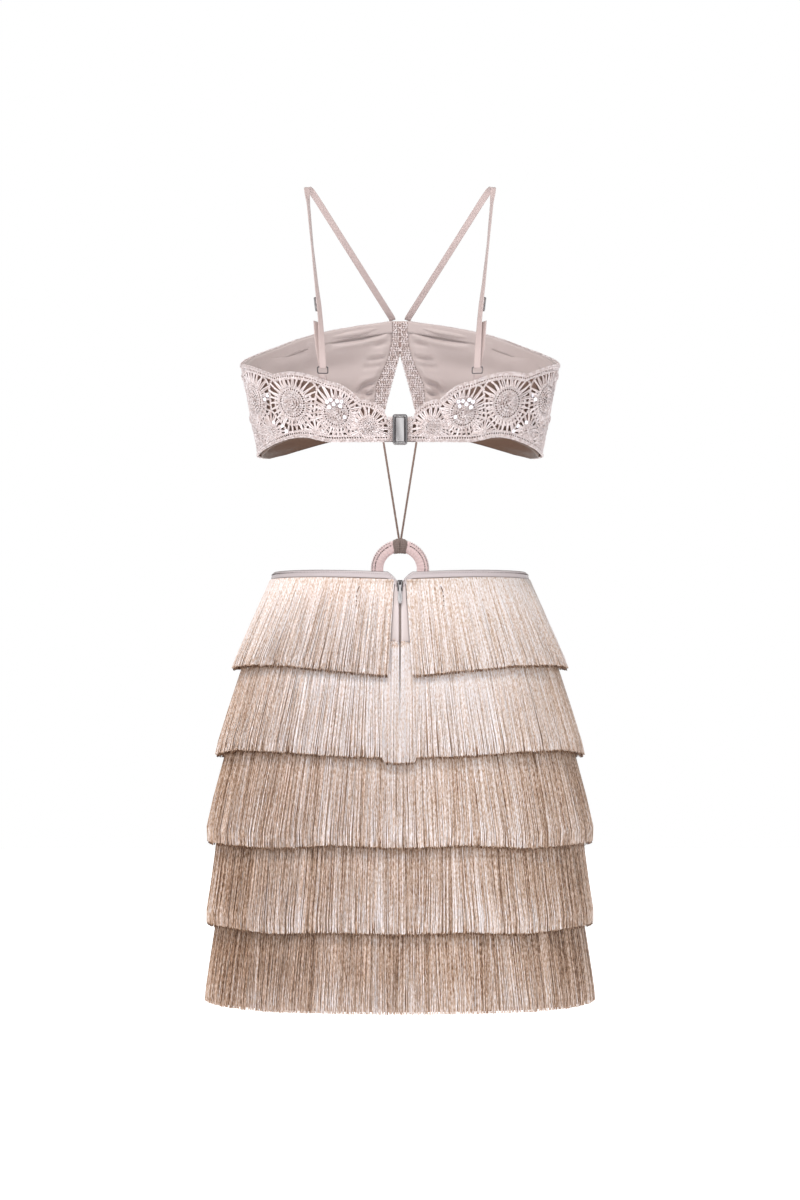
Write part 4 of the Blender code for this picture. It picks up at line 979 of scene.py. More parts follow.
def build_cup(name, side, seed):
    rng = np.random.default_rng(seed)
    out = CROCHET_OUT
    places = motifs(CUP_MEDALLIONS)

    def allowed(arc, z):
        inside = (arc > 2.0) & (arc < cup_edge(z) - 1.5)
        return inside & (z > cup_bottom(arc) + EDGING_DEPTH) & (z < cup_top(arc) - EDGING_DEPTH)

    runs = edging(cup_top, -1.0, out, rng, 1.0, float(arc_at(86.8)))
    runs += edging(cup_bottom, 1.0, out, rng, 1.0, float(arc_at(78.4)))
    for index, (centre, radius) in enumerate(places):
        runs += medallion(centre, radius, out, rng, 3.1, 3.9)
        runs += spokes(places, index, allowed, out, rng, 3.4, 3.9)
    strands(f"cup_yarn_{name}", runs, band(FRONT, side), COTTON, sides=3,
            keep=lambda arc, z: (arc > 0.6) & (arc < cup_edge(z) - 0.9) & (z > cup_bottom(arc) - 0.2),
            replaces=[f"cup_crochet_{name}"])


for seed, (name, side) in enumerate(SIDES):
    build_cup(name, side, 21 + seed)

# %% [markdown]
# ## Keyhole trim
# A band of close crochet shells edges the keyhole and joins the two cups above it. It is thick, so it
# has a core of dense stitches, with fans of posts and chains on the inside and on the outside.

# %% Keyhole trim
def build_trim(name, side, seed):
    rng = np.random.default_rng(seed)
    heights = np.linspace(-248.4, -128.6, 61)[:, None]
    t = np.linspace(0.0, 1.0, 5)[None, :]
    joined = smooth((heights + 164.0) / 3.0)
    near, far = cup_edge(heights) - 0.8, np.minimum(keyhole_edge(heights) - 0.9 + 0.9 * joined, BAND_ARC)
    u = near + (far - near) * t
    v = heights + 0.0 * t
    cloth(f"trim_core_{name}", band(FRONT, side), u, v, 0.9, 3.1, COTTON, replaces=[f"front_trim_{name}"],
          slot="crochet_yarn")
    runs = []
    for face_out, way in ((0.35, -1.0), (3.6, 1.0)):
        for row, z in enumerate(np.arange(-247.8, -129.0, 2.3)):
            start, end = float(cup_edge(z)), min(float(keyhole_edge(z)), BAND_ARC)
            across = np.arange(start + 0.6 + 0.6 * (row % 2), end - 0.5, 2.4)
            for arc in across:
                turn = rng.normal(0.0, 0.6) + (0.7 if row // 3 % 2 else -0.7)
                line = np.array((math.sin(turn), math.cos(turn)))
                loop = [(arc - line[0] * 1.1, z - line[1] * 1.1, face_out),
                        (arc - line[1] * 0.5, z + line[0] * 0.5, face_out + way * 0.9),
                        (arc + line[0] * 1.1, z + line[1] * 1.1, face_out + way * 0.5),
                        (arc + line[1] * 0.6, z - line[0] * 0.6, face_out + way * 0.9),
                        (arc - line[0] * 0.9, z - line[1] * 0.9, face_out)]
                runs.append(run(loop, YARN * rng.uniform(1.0, 1.25), rng.uniform(0.2, 1.0)))
    for z in np.arange(-247.5, -129.5, 3.1):
        arc = min(float(keyhole_edge(z)), BAND_ARC - 0.3) - 0.7
        scallop = [(arc - 1.3, z - 1.4, 2.0), (arc + 0.3, z - 1.0, 2.3), (arc + 0.7, z, 2.0), (arc + 0.3, z + 1.0, 1.7),
                   (arc - 1.3, z + 1.4, 2.0)]
        runs.append(run(scallop, YARN, rng.uniform(0.3, 1.0)))
    strands(f"trim_yarn_{name}", runs, band(FRONT, side), COTTON, sides=4,
            keep=lambda arc, z: (arc < BAND_ARC - 0.05) & (z > -248.9) & (z < -128.4))


for seed, (name, side) in enumerate(SIDES):
    build_trim(name, side, 31 + seed)

# %% [markdown]
# ## Fringe
# Each tier is a braid with thousands of viscose threads, cut level at the hem. A thread hangs from the
# braid, swings out over the tier below and curls in a little at its tip. The nodes tree makes it a
# three-sided tube, which is enough at this fineness. The inner threads end just below the outer ones,
# and their cut ends are painted dark brown as deep shade, which draws a thin dark line under every hem.

# %% Shape and tones of the tiers
TIERS = (
    # root height, root half split, hem half split, hem stand-off
    (-393.0, 5.6, 11.0, 14.0),
    (-456.0, 0.9, -0.3, 16.0),
    (-541.0, 0.0, 0.0, 17.5),
    (-627.0, 0.0, 0.0, 16.6),
    (-711.0, 0.0, 0.0, 13.6),
)
HEMS = (
    # hem heights of each tier at even steps from the centre back to the centre front
    (-486.8, -482.0, -477.4, -477.6, -481.5, -481.0, -478.0, -479.0, -482.0),
    (-565.9, -564.3, -561.2, -560.8, -567.5, -571.0, -565.0, -563.0, -566.0),
    (-652.8, -650.4, -654.8, -653.8, -653.4, -654.0, -655.0, -652.0, -654.0),
    (-735.8, -735.0, -738.0, -735.0, -734.6, -735.0, -738.0, -740.0, -737.0),
    (-813.0, -813.0, -814.0, -813.5, -812.0, -812.0, -814.0, -813.0, -814.0),
)
# The tones paint light and shade: the lower tiers and the sides of each tier are painted darker, where less light
# falls.
TIER_TONES_AND_SHADE = (
    # tone at the middle near the root and at the hem, then at the sides, and how uneven the tier is
    (0.76, 0.75, 0.79, 0.68, 0.02),
    (1.00, 0.74, 0.56, 0.47, 0.05),
    (0.66, 0.62, 0.32, 0.37, 0.09),
    (0.48, 0.64, 0.22, 0.34, 0.09),
    (0.40, 0.54, 0.18, 0.32, 0.09),
)
TIPS = (1.06, 1.06, 0.90, 0.90, 1.06)
SIDE_FLARE = (2.0, 0.0, 0.0, 0.0, 0.0)
THREAD_SPREAD = (0.08, 0.09, 0.12, 0.13, 0.13)
THREADS = 2400
LOCKS = 330
LOWEST_TIP = -814.6
WAIST_LENGTH = 680.0


def hem_height(row, share):
    """Height of a tier's hem at a share of the way round."""
    fold = 1.0 - np.abs(2.0 * share - 1.0)
    return np.interp(fold, np.linspace(0.0, 1.0, len(HEMS[row])), HEMS[row])


def stand(depth, low, high, tip=0.93):
    """Distance out at a share of the way down: the threads swing out, and their tips curl in or flare."""
    return low + (high - low) * np.interp(depth, (0.0, 0.45, 0.9, 1.0), (0.0, 0.45, 0.98, tip))


def uneven(share, rng, counts):
    """A smooth uneven number, about from -1 to 1, at each share of the way round."""
    total = np.zeros(np.shape(share))
    for count in counts:
        total += np.sin(math.tau * (count * share + rng.uniform())) * rng.uniform(0.6, 1.0)
    return total / math.sqrt(len(counts))


def waist_arch(share):
    """The waist's back rises a little between the zip and each side."""
    side = np.minimum(share, 1.0 - share) / 0.25
    return 2.3 * np.sin(math.pi * np.clip(side, 0.0, 1.0))


def waist_dip(share):
    """The front of the waist sags a little where the ring hangs."""
    return 8.5 * np.exp(-((share - 0.5) * WAIST_LENGTH / 14.0) ** 2)


def zip_dip(share, width):
    """How far the waist turns down beside the zip."""
    away = np.minimum(share, 1.0 - share) * width
    return 11.0 * np.clip(1.0 - away / 12.5, 0.0, 1.0) ** 1.3


def centre_dip(row, share, width):
    """The second tier's hem hangs a little lower for 15 mm on each side of the zip."""
    away = np.minimum(share, 1.0 - share) * width
    return (5.0 if row == 1 else 0.0) * smooth((17.0 - away) / 5.0)


print("threads in all:", THREADS * len(TIERS))

# %% [markdown]
# Every thread gets five heights or six: its root or the first place where it shows, a bend, the swing
# out, and the last millimetres of its tip. Its tone says how light it is, and carries painted shade under
# the tier above and on the inner threads. Neighbours gather into locks, which lean together. Where a
# tier above covers the roots, the threads start just under its hem.

# %% Fringe tiers
def build_bed(row):
    """The threads that lie in shade behind the outermost ones, as one thin wall painted in that shade."""
    root, root_split, hem_split, stand_off = TIERS[row]
    closed = root_split == 0.0
    shares = np.linspace(0.0, 1.0, 241)[:-1 if closed else None][:, None]
    depth = np.linspace(0.0, 1.0, 6)[None, :]
    start = root - 1.0 - (waist_dip(shares) if row == 0 else 0.0)
    z = start + (hem_height(row, shares) + 2.0 - start) * depth
    split = np.maximum(root_split + (hem_split - root_split) * depth, 0.0) + (0.0 if closed else 0.3)
    low = stand(depth, 2.0, stand_off - 4.6) + 0.3 * np.sin(math.tau * 90.0 * shares) * depth
    width = way_round(root)
    cloth(f"fringe_tier_{row + 1}_bed", lambda u, v, out: skirt(u / width, v, out, split + 0.0 * u),
          shares * width + 0.0 * depth, z, low, low + 1.1, BED, closed=closed,
          replaces=[f"fringe_tier_{row + 1}"], slot="viscose_fringe")


def build_threads(row):
    """The threads of a tier: their places, then their tones with painted shade."""
    root, root_split, hem_split, stand_off = TIERS[row]
    rng = np.random.default_rng(50 + row)
    start = (np.arange(THREADS) + rng.uniform(0.0, 1.0, THREADS)) / THREADS
    lock = np.clip(((start + rng.normal(0.0, 0.25, THREADS) / LOCKS) * LOCKS).astype(int), 0, LOCKS - 1)
    centre = (lock + 0.5) / LOCKS
    layer = rng.uniform(0.0, 1.0, THREADS) ** 0.5
    inner = layer < 0.6
    last = row == len(TIERS) - 1
    hem = hem_height(row, start) + rng.normal(0.0, 0.3, THREADS) + 0.25 * uneven(start, rng, (41, 67))
    hem = hem - centre_dip(row, start, way_round(hem.mean()))
    hem = np.where(inner, hem - (0.0 if last else 1.7), hem + (0.2 if last else 0.5))
    hem = np.maximum(hem, LOWEST_TIP)[:, None]
    top = root + (waist_arch(start) - waist_dip(start) if row == 0 else 0.0 * start)[:, None]
    above = (hem_height(row - 1, start) if row else top[:, 0] - 0.5)[:, None]
    seen = np.minimum(start, 1.0 - start) < (1.0, 0.024, 0.0, 0.0, 0.0)[row]
    first = np.where(seen[:, None], top, above + 5.0)
    z = np.concatenate([first, above - 6.0, above - 6.0 + (hem - above + 6.0) * 0.45,
                        hem + 0.12 * (top - hem), hem + np.where(inner, 2.6, 1.1)[:, None], hem], axis=1)
    depth = (z - top) / (hem - top)

    closing = 1.0 - 0.12 * depth ** 2
    lean = 0.0030 * uneven(start, rng, (4, 7, 10, 15)) + rng.normal(0.0, 0.0009, THREADS)
    sway = rng.normal(0.0, 0.00025, z.shape) * depth
    share = centre[:, None] + (start - centre)[:, None] * closing + lean[:, None] * depth ** 1.6 + sway
    if root_split > 0.0:
        edge = np.minimum(start, 1.0 - start)
        share = start[:, None] + (share - start[:, None]) * smooth(edge / 0.03)[:, None]
    high = stand(depth, 3.6 if row else 2.7, stand_off - 0.5 + 0.2 * rng.normal(0.0, 1.0, THREADS)[:, None],
                 TIPS[row])
    deep = stand(depth, 2.6, stand_off - 3.0)
    side = (0.5 - 0.5 * np.cos(2.0 * math.tau * start))[:, None]
    out = deep + (high - deep) * layer[:, None] + SIDE_FLARE[row] * side ** 3 * depth ** 2
    split = np.maximum(root_split + (hem_split - root_split) * depth, 0.0)
    points = skirt(np.clip(share, 0.0, 1.0), z, out, split)

    side = side ** 1.5
    middle_root, middle_hem, side_root, side_hem, spread = TIER_TONES_AND_SHADE[row]
    tone = ((1.0 - side) * (middle_root + (middle_hem - middle_root) * depth)
            + side * (side_root + (side_hem - side_root) * depth))
    tone = tone + spread * uneven(start, rng, (11, 23, 37, 53))[:, None] * (0.4 + 0.6 * depth)
    tone = tone + rng.normal(0.0, THREAD_SPREAD[row], THREADS)[:, None] + rng.normal(0.0, 0.10, z.shape)
    beside_zip = smooth((0.022 - np.minimum(start, 1.0 - start)) / 0.008) if row == 1 else 0.0 * start
    # painted shadow of the tier above: a thread is painted darker where it first shows under that hem, but not beside
    # the zip
    if row:
        tone[:, 0] *= 0.35 + 0.65 * beside_zip
    # the inner threads are painted darker as shade
    tone = tone * np.where(inner, 0.86, 1.0)[:, None]
    tone[:, -3:] += 0.0 if row == 0 else 0.10
    # painted shade at the cut ends: the inner tips dark brown, the outer tips darker at random
    if not last:
        tone[:, -1] = np.where(inner, 0.0, tone[:, -1] * rng.uniform(0.1, 1.0, THREADS))
        tone[:, -2] = np.where(inner, 0.08, tone[:, -2])
        tone[:, -3] = np.where(inner, tone[:, -3] * 0.8, tone[:, -3])
    thick = rng.uniform(0.28, 0.46, THREADS)
    runs = [run(points[i], thick[i], np.clip(tone[i], 0.0, 1.0)) for i in range(THREADS)]
    strands(f"fringe_tier_{row + 1}_threads", runs, None, VISCOSE, sides=3,
            replaces=[f"fringe_tier_{row + 1}"])


for row in range(len(TIERS)):
    build_bed(row)
    build_threads(row)

# %% [markdown]
# At two places near the zip the top tier's threads part, and a little of the shade behind shows as a
# broken dark line. Each is a few short strands, painted dark brown as that shade, which lie between the threads.

# %% Partings of the top tier
PARTINGS = (
    # distance across at the top and foot, height at the top and foot
    (39.6, 42.0, -399.4, -405.6),
    (42.2, 42.4, -408.2, -410.2),
    (42.4, 42.5, -413.0, -414.4),
    (42.5, 42.6, -418.0, -419.0),
)


def build_partings():
    runs = []
    for side in (-1.0, 1.0):
        for near, far, high, low in PARTINGS:
            # tones 0 and 0.12 are painted shade
            for shift, tone in ((0.0, 0.0), (0.35, 0.12)):
                heights = np.array((high, (high + low) / 2, low))
                across = np.linspace(near, far, 3) + shift
                half_width, back, _ = skirt_sizes(heights)
                out = 3.4 + (-heights - 391.0) * 0.125
                angle = np.arcsin(across / (half_width + out))
                points = np.stack([side * across, -(back + out) * np.cos(angle), heights], -1)
                runs.append(run(points, (0.18, 0.42, 0.15), tone))
    strands("partings", runs, None, VISCOSE, sides=4)


build_partings()

# %% [markdown]
# ## Skirt cloth and waist
# The fringe is sewn to a plain skirt, which shows only inside the waist. It hangs in a few soft waves,
# and a shallow groove marks each seam.

# %% Skirt panels
def build_skirt():
    near = np.array((0.0, 0.003, 0.006, 0.01, 0.014, 0.018))
    shares = np.concatenate([near, np.linspace(0.024, 0.976, 151), 1.0 - near[::-1]])[:, None]
    z = -790.0 + (399.3 - waist_dip(shares) - zip_dip(shares, WAIST_LENGTH)) * np.linspace(0.0, 1.0, 21)[None, :]
    width = way_round(HIP_HEIGHT)
    soft = 0.5 * np.sin(math.tau * 7 * shares + 0.02 * z) * smooth((-392.0 - z) / 30.0)
    seam = sum(np.exp(-((shares - s) * width / 1.5) ** 2) for s in (0.267, 0.5, 0.733))
    low = -0.2 + soft * 0.6 - 0.5 * seam
    made = cloth("skirt_cloth", lambda u, v, out: skirt(u / width, v, out, 0.5), shares * width + 0.0 * z,
                 z + 0.0 * shares, low, low + 1.2, SKIRT_CLOTH,
                 replaces=["skirt_front_left", "skirt_front_right", "skirt_back_left", "skirt_back_right"],
                 slot="skirt_cloth")


build_skirt()

# %% [markdown]
# A satin strip binds the waist. It rises a little over each side of the back, and turns down and out at
# the zip. Dark thread is overlocked over its top edge: one long strand that winds over and over.

# %% Waist binding and its overlocked edge
BINDING_HALF_HEIGHT = 3.3


def binding_rows(share, whole):
    """Top height and the two distances out of the binding at a share of the way round."""
    away = np.minimum(share, 1.0 - share) * whole
    shift = 1.0 - smooth((away - 4.5) / 4.5)
    top = -386.0 - zip_dip(share, whole) + waist_arch(share) - waist_dip(share)
    return top, -1.0 + 2.7 * shift, 2.3 + 1.0 * shift


def build_binding():
    whole = way_round(WAIST_HEIGHT)
    ends = np.linspace(2.9, 14.0, 14) / whole
    shares = np.concatenate([ends, np.linspace(ends[-1], 1.0 - ends[-1], 260)[1:-1], 1.0 - ends[::-1]])[:, None]
    turn = np.linspace(0.0, math.tau, 15)[None, :-1]
    top, near, far = binding_rows(shares, whole)
    pucker = 0.14 * np.sin(shares * whole * 1.1)
    half_width, middle = (far - near) / 2, (far + near) / 2
    across = blunt(np.cos(turn), 0.5) * (half_width + pucker * 0.5)
    up = blunt(np.sin(turn), 0.5) * BINDING_HALF_HEIGHT
    points = skirt(shares, top - 0.1 - BINDING_HALF_HEIGHT + up, middle + across)
    uvs = np.stack([shares * whole + 0.0 * turn, 3.0 * turn + 0.0 * shares], -1).reshape(-1, 2)
    made = add_piece("waist_satin", points.reshape(-1, 3), tube(points), SATIN, uvs=uvs,
                     replaces=["waist_binding"], slot="satin_binding")
    face_outwards(made)
    s = np.arange(4.0 / whole, 1.0 - 4.0 / whole, 0.46 / whole)
    top, near, far = binding_rows(s, whole)
    phase = np.arange(len(s)) * math.pi / 2
    middle, reach = (near + far) / 2, (far - near) / 2 + 0.4
    out = middle + reach * np.cos(phase)
    z = top - 2.3 + 2.6 * np.abs(np.sin(phase))
    line = np.stack([s, z, out], -1)
    shade = np.where(np.arange(len(s)) % 2 == 0, 0.6, 1.0)
    strands("waist_overlock", [run(line, 0.28, shade)], skirt, DARK_THREAD, sides=4)


build_binding()

# %% [markdown]
# ## Zip
# An invisible-style zip closes the centre back: two woven tapes, a fine coil down the middle, a slider
# and a teardrop pull. The coil is two rows of small loops that mesh. A broken dark line of short strands
# runs down each tape's edge near its top, stitches cross each tape's foot, and the second tier's first threads fold
# over that foot.

# %% Zip tapes and coil
def near_back(x, z, out):
    """Points near the centre back, by their distance across."""
    half_width, back, _ = skirt_sizes(z)
    angle = np.arcsin(np.clip(x / (half_width + out), -1.0, 1.0))
    return np.stack([x + 0.0 * z, -(back + out) * np.cos(angle), z + 0.0 * x], -1)


def build_zip():
    for name, side in SIDES:
        z = np.linspace(-455.2, -395.2, 31)[:, None]
        t = np.linspace(0.0, 1.0, 6)[None, :]
        wide = np.interp(z, (-455.2, -399.0, -395.2), (9.8, 5.75, 3.6))
        x = side * (1.1 + (wide - 1.1) * t)
        cloth(f"zip_tape_cloth_{name}", near_back, x, z + 0.0 * t, 1.6, 2.4, ZIP_CLOTH,
              replaces=[f"zip_tape_{name}"], slot="zip_tape")
    runs = []
    for side in (-1.0, 1.0):
        for z in np.arange(-539.0, -405.8, 1.3):
            z = z + (0.65 if side > 0 else 0.0)
            loop = [(side * 0.95, z, 2.0), (side * 0.3, z + 0.1, 3.0), (-side * 0.25, z + 0.2, 2.6),
                    (side * 0.3, z + 0.35, 2.0)]
            runs.append(run(loop, 0.28, 0.15))
    strands("zip_coil", runs, near_back, THREAD, sides=4, replaces=["zip_teeth"])
    rng = np.random.default_rng(61)
    seams = []
    for side in (-1.0, 1.0):
        for z in np.arange(-397.6, -418.0, -1.9):
            x = side * (5.5 + (-398.0 - z) * 0.075)
            seams.append(run([(x, z, 2.9), (x + side * 0.1, z - 0.7, 3.2), (x + side * 0.1, z - 1.5, 2.9)], 0.24,
                             rng.uniform(0.0, 0.8)))
        for x in np.arange(1.7, 9.4, 1.5):
            stitch = [(side * x, -453.6, 2.5), (side * (x + 0.4), -453.7, 2.75), (side * (x + 0.9), -453.6, 2.5)]
            seams.append(run(stitch, 0.16, 1.0))
    strands("zip_tape_stitches", seams, near_back, DARK_THREAD, sides=4)
    folds = []
    for _ in range(90):
        x, z = rng.choice((-1.0, 1.0)) * rng.uniform(1.4, 10.0), rng.normal(-454.6, 1.1)
        wide, long = rng.uniform(0.3, 0.8), rng.uniform(2.0, 4.5)
        loop = [(x - wide, z - long, 3.3), (x - wide * 0.6, z, 4.2), (x + wide * 0.5, z + 0.3, 4.3),
                (x + wide, z - long * 0.8, 3.4)]
        folds.append(run(loop, 0.38, rng.uniform(0.5, 1.0)))
    strands("second_tier_fold", folds, near_back, VISCOSE, sides=3)


build_zip()

# %% [markdown]
# ## Metal parts
# The clasp, sliders, rings and zip metal are cast with softly rounded edges. Each keeps the shape of
# its solid: its mesh is copied, its flat faces are joined, and a bevel rounds the edges.

# %% Metal with rounded edges
def rounded_copy(node, name, width, body="garment", finish_of=None, segments=3):
    """A copy of a CAD node with its triangles merged and its sharp edges rounded. Unless a finish is given, the
    rounding takes the nickel with a painted dark reflection.
    """
    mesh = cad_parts[node].data.copy()
    mesh.materials.clear()
    mesh.materials.append(finish_of or NICKEL)
    if not finish_of:
        mesh.materials.append(DARK_REFLECTION_NICKEL)
    work = bmesh.new()
    work.from_mesh(mesh)
    bmesh.ops.remove_doubles(work, verts=work.verts, dist=1e-6)
    bmesh.ops.dissolve_limit(work, angle_limit=math.radians(2.0), verts=work.verts, edges=work.edges)
    sharp = [e for e in work.edges if len(e.link_faces) == 2 and e.calc_face_angle(0.0) > math.radians(25.0)]
    bmesh.ops.bevel(work, geom=sharp, offset=width * MM, segments=segments, profile=0.5, affect="EDGES",
                    clamp_overlap=True, material=0 if finish_of else 1)
    bmesh.ops.recalc_face_normals(work, faces=work.faces)
    work.to_mesh(mesh)
    work.free()
    mesh.name = name
    mesh.shade_smooth()
    mesh.set_sharp_from_angle(angle=math.radians(50.0))
    made = bpy.data.objects.new(name, mesh)
    bpy.context.collection.objects.link(made)
    settle(made, body, [node])
    return made


for node, width, body in (("clasp_frame", 0.45, "garment"), ("clasp_plate", 0.5, "garment"),
                          ("zip_slider", 0.6, "garment"), ("zip_pull", 0.42, "pull"),
                          ("strap_slider_left", 0.35, "garment"), ("strap_slider_right", 0.35, "garment"),
                          ("strap_ring_left", 0.4, "garment"), ("strap_ring_right", 0.4, "garment")):
    # the strap rings and the zip slider take the painted dark reflection all over
    plain = DARK_REFLECTION_NICKEL if node.startswith(("strap_ring", "zip_slider")) else None
    made = rounded_copy(node, f"{node}_metal", width, body, plain)
    print(made.name, len(made.data.polygons), "faces")

# %% [markdown]
# ## Straps
# Each strap is one narrow woven tape. It rises from the centre of the front, lies flat over the
# shoulder, turns on edge down the back, goes round the square ring and comes up again to the slider.

# %% Straps and tabs
STRAP_ROUTE = (
    # x, y, z, then the direction of the tape's width
    (7.6, 89.2, -127.4, 1.0, 0.0, 0.0),
    (8.6, 88.2, -124.6, 0.95, 0.0, -0.2),
    (14.0, 82.0, -116.5, 0.84, 0.0, -0.5),
    (48.0, 46.5, -65.0, 0.84, 0.0, -0.55),
    (83.5, 11.0, -11.0, 0.84, 0.0, -0.55),
    (89.6, 4.8, -2.6, 0.96, 0.0, -0.28),
    (92.0, 0.0, -0.5, 1.0, 0.0, 0.0),
    (92.8, -4.6, -2.2, 0.92, -0.38, 0.0),
    (92.6, -8.6, -8.0, 0.70, -0.70, 0.0),
    (91.4, -13.6, -18.0, 0.40, -0.92, 0.0),
    (87.2, -34.0, -60.0, 0.25, -0.97, 0.0),
    (82.4, -53.5, -102.0, 0.45, -0.89, 0.0),
    (79.8, -62.0, -122.0, 0.62, -0.78, 0.0),
    (78.2, -69.0, -138.0, 0.66, -0.75, 0.0),
    (76.6, -80.5, -164.0, 0.92, -0.38, 0.0),
    (75.8, -86.0, -178.0, 1.0, -0.10, 0.0),
    (75.6, -88.6, -184.2, 1.0, -0.10, 0.0),
)
STRAP_WIDTH, STRAP_THICKNESS, STRAP_LOOP_GAP, STRAP_LOOP_TOP = 6.6, 0.9, 1.55, 13


def strap_frame(row):
    """Place, way along, way across and outward way of the strap at a row of its route."""
    here = Vector(STRAP_ROUTE[row][:3])
    before = Vector(STRAP_ROUTE[row - 1][:3])
    after = Vector(STRAP_ROUTE[min(row + 1, len(STRAP_ROUTE) - 1)][:3])
    along = (after - before).normalized()
    across = Vector(STRAP_ROUTE[row][3:])
    across = (across - across.dot(along) * along).normalized()
    return here, along, across, across.cross(along).normalized()


def strap_rows():
    """The whole route: down to the ring, round its bar, and up again beside the first layer."""
    last, along, across, outward = strap_frame(len(STRAP_ROUTE) - 1)
    rows = [np.array(r) for r in STRAP_ROUTE]
    for turn in (30.0, 65.0, 100.0, 135.0):
        angle = math.radians(turn)
        point = last + outward * STRAP_LOOP_GAP * (1.0 - math.cos(angle)) + along * STRAP_LOOP_GAP * math.sin(angle)
        rows.append(np.array((*point, *across)))
    last_row = len(STRAP_ROUTE) - 1
    for row in range(last_row, STRAP_LOOP_TOP - 1, -1):
        here, _, across, outward = strap_frame(row)
        aside = Vector((2.4 * min(1.0, (last_row - row) / 2.0), 0.0, 0.0))
        rows.append(np.array((*(here + outward * 2.0 * STRAP_LOOP_GAP + aside), *across)))
    return np.array(rows)


def build_straps():
    rows = strap_rows()
    lengths = np.concatenate(([0.0], np.cumsum(np.linalg.norm(np.diff(rows[:, :3], axis=0), axis=1))))
    s = np.unique(np.concatenate([lengths, np.arange(0.0, lengths[-1], 2.5)]))
    fine = np.stack([np.interp(s, lengths, rows[:, k]) for k in range(6)], -1)
    along = np.gradient(fine[:, :3], axis=0)
    along /= np.linalg.norm(along, axis=1, keepdims=True)
    across = fine[:, 3:] - (fine[:, 3:] * along).sum(1, keepdims=True) * along
    across /= np.linalg.norm(across, axis=1, keepdims=True)
    through = np.cross(along, across)
    half, thin = STRAP_WIDTH / 2, STRAP_THICKNESS / 2
    section = np.array(((half, 0.0), (half - 0.25, thin * 0.9), (half - 1.0, thin * 0.75), (0.0, thin),
                        (-half + 1.0, thin * 0.75), (-half + 0.25, thin * 0.9), (-half, 0.0),
                        (-half + 0.25, -thin * 0.9), (-half + 1.0, -thin * 0.75), (0.0, -thin),
                        (half - 1.0, -thin * 0.75), (half - 0.25, -thin * 0.9)))
    points = fine[:, None, :3] + section[None, :, :1] * across[:, None] + section[None, :, 1:] * through[:, None]
    count, size = points.shape[:2]
    uvs = np.stack([np.repeat(section[None, :, 0], count, 0), np.repeat(s[:, None], size, 1)], -1).reshape(-1, 2)
    for name, side in SIDES:
        made = add_piece(f"strap_tape_{name}", points.reshape(-1, 3) * (side, 1.0, 1.0), tube(points), STRAP_TAPE,
                         uvs=uvs, replaces=[f"strap_{name}"], slot="strap_tape")
        face_outwards(made)
        tab = rounded_copy(f"strap_tab_{name}", f"strap_tab_tape_{name}", 0.25, finish_of=STRAP_TAPE,
                           segments=2)
        flat = tab.data.uv_layers.new(name="cloth")
        for loop in tab.data.loops:
            point = tab.data.vertices[loop.vertex_index].co
            flat.uv[loop.index].vector = (point.x / MM, point.z / MM)
    print("strap length, mm:", round(float(lengths[-1])))


build_straps()

# %% [markdown]
# ## Ring, wraps and cords
# At the front waist a flat ring covered with cloth hangs from two thin cords, and is sewn to the skirt
# below. Its outer edge is stitched over, and crepe is gathered round it above and below.

# %% Covered ring
RING_CENTRE = (98.0, -381.3)
RING_RADII = (17.1, 29.7)
RING_THICKNESS = 4.0


def ring_place(degrees, radius, y):
    """Points on the ring, by angle, distance from its middle and distance to the front."""
    angle = np.radians(degrees)
    depth, height = RING_CENTRE
    return np.stack([radius * np.cos(angle), depth + y + 0.0 * angle, height + radius * np.sin(angle)], -1)


def build_ring():
    turn = np.arange(0.0, 360.0, 2.0)[:, None]
    section = np.linspace(0.0, math.tau, 37)[None, :-1]
    middle, half = sum(RING_RADII) / 2, (RING_RADII[1] - RING_RADII[0]) / 2
    gather = 0.12 * np.sin(np.radians(turn) * 38.0) + 0.08 * np.sin(np.radians(turn) * 61.0)
    across = blunt(np.cos(section), 0.7) * half
    deep = blunt(np.sin(section), 0.75) * (RING_THICKNESS / 2 + gather)
    deep = deep * (1.0 - 0.3 * np.exp(-((across - 2.2) / 0.6) ** 2))
    points = ring_place(turn + 0.0 * section, middle + across, deep + 0.0 * turn)
    uvs = np.stack([turn * 0.4 + 0.0 * section, section * 4.0 + 0.0 * turn], -1).reshape(-1, 2)
    made = add_piece("ring_cover", points.reshape(-1, 3), tube(points, True), RING_CLOTH, uvs=uvs,
                     replaces=["waist_ring"], slot="covered_ring")
    face_outwards(made)
    stitches = []
    for angle in np.arange(0.0, 360.0, 5.0):
        if 76.0 < angle < 104.0 or 256.0 < angle < 284.0:
            continue
        path = [(angle - 1.0, 27.6, -2.0), (angle - 0.3, 29.3, -1.5), (angle, 29.95, 0.0), (angle + 0.3, 29.3, 1.5),
                (angle + 1.0, 27.6, 2.0)]
        stitches.append(run(path, 0.34, 0.8))
    strands("ring_stitches", stitches, ring_place, THREAD, sides=5)
    rng = np.random.default_rng(67)
    dashes = []
    for radius, depth, thick in ((25.6, 1.6, 0.46), (28.6, 1.5, 0.32)):
        for angle in np.arange(0.0, 360.0, 5.4):
            if not (70.0 < angle < 110.0 or 250.0 < angle < 290.0):
                for face in (-1.0, 1.0):
                    start = angle + rng.normal(0.0, 0.3)
                    path = [(start - 1.7, radius, face * depth),
                            (start, radius + rng.normal(0.0, 0.1), face * (depth + 0.3)),
                            (start + 1.7, radius, face * depth)]
                    dashes.append(run(path, thick, rng.uniform(0.0, 0.8)))
    strands("ring_topstitch", dashes, ring_place, DARK_THREAD, sides=4)


build_ring()

# %% [markdown]
# A wrap is a short closed sleeve round the ring, with folds that run round it. It is fuller at its
# middle, where a few dark stitches draw it in, and comes to a small peak at the cords.

# %% Gathered wraps
WRAP_HALF_ANGLE = 16.9


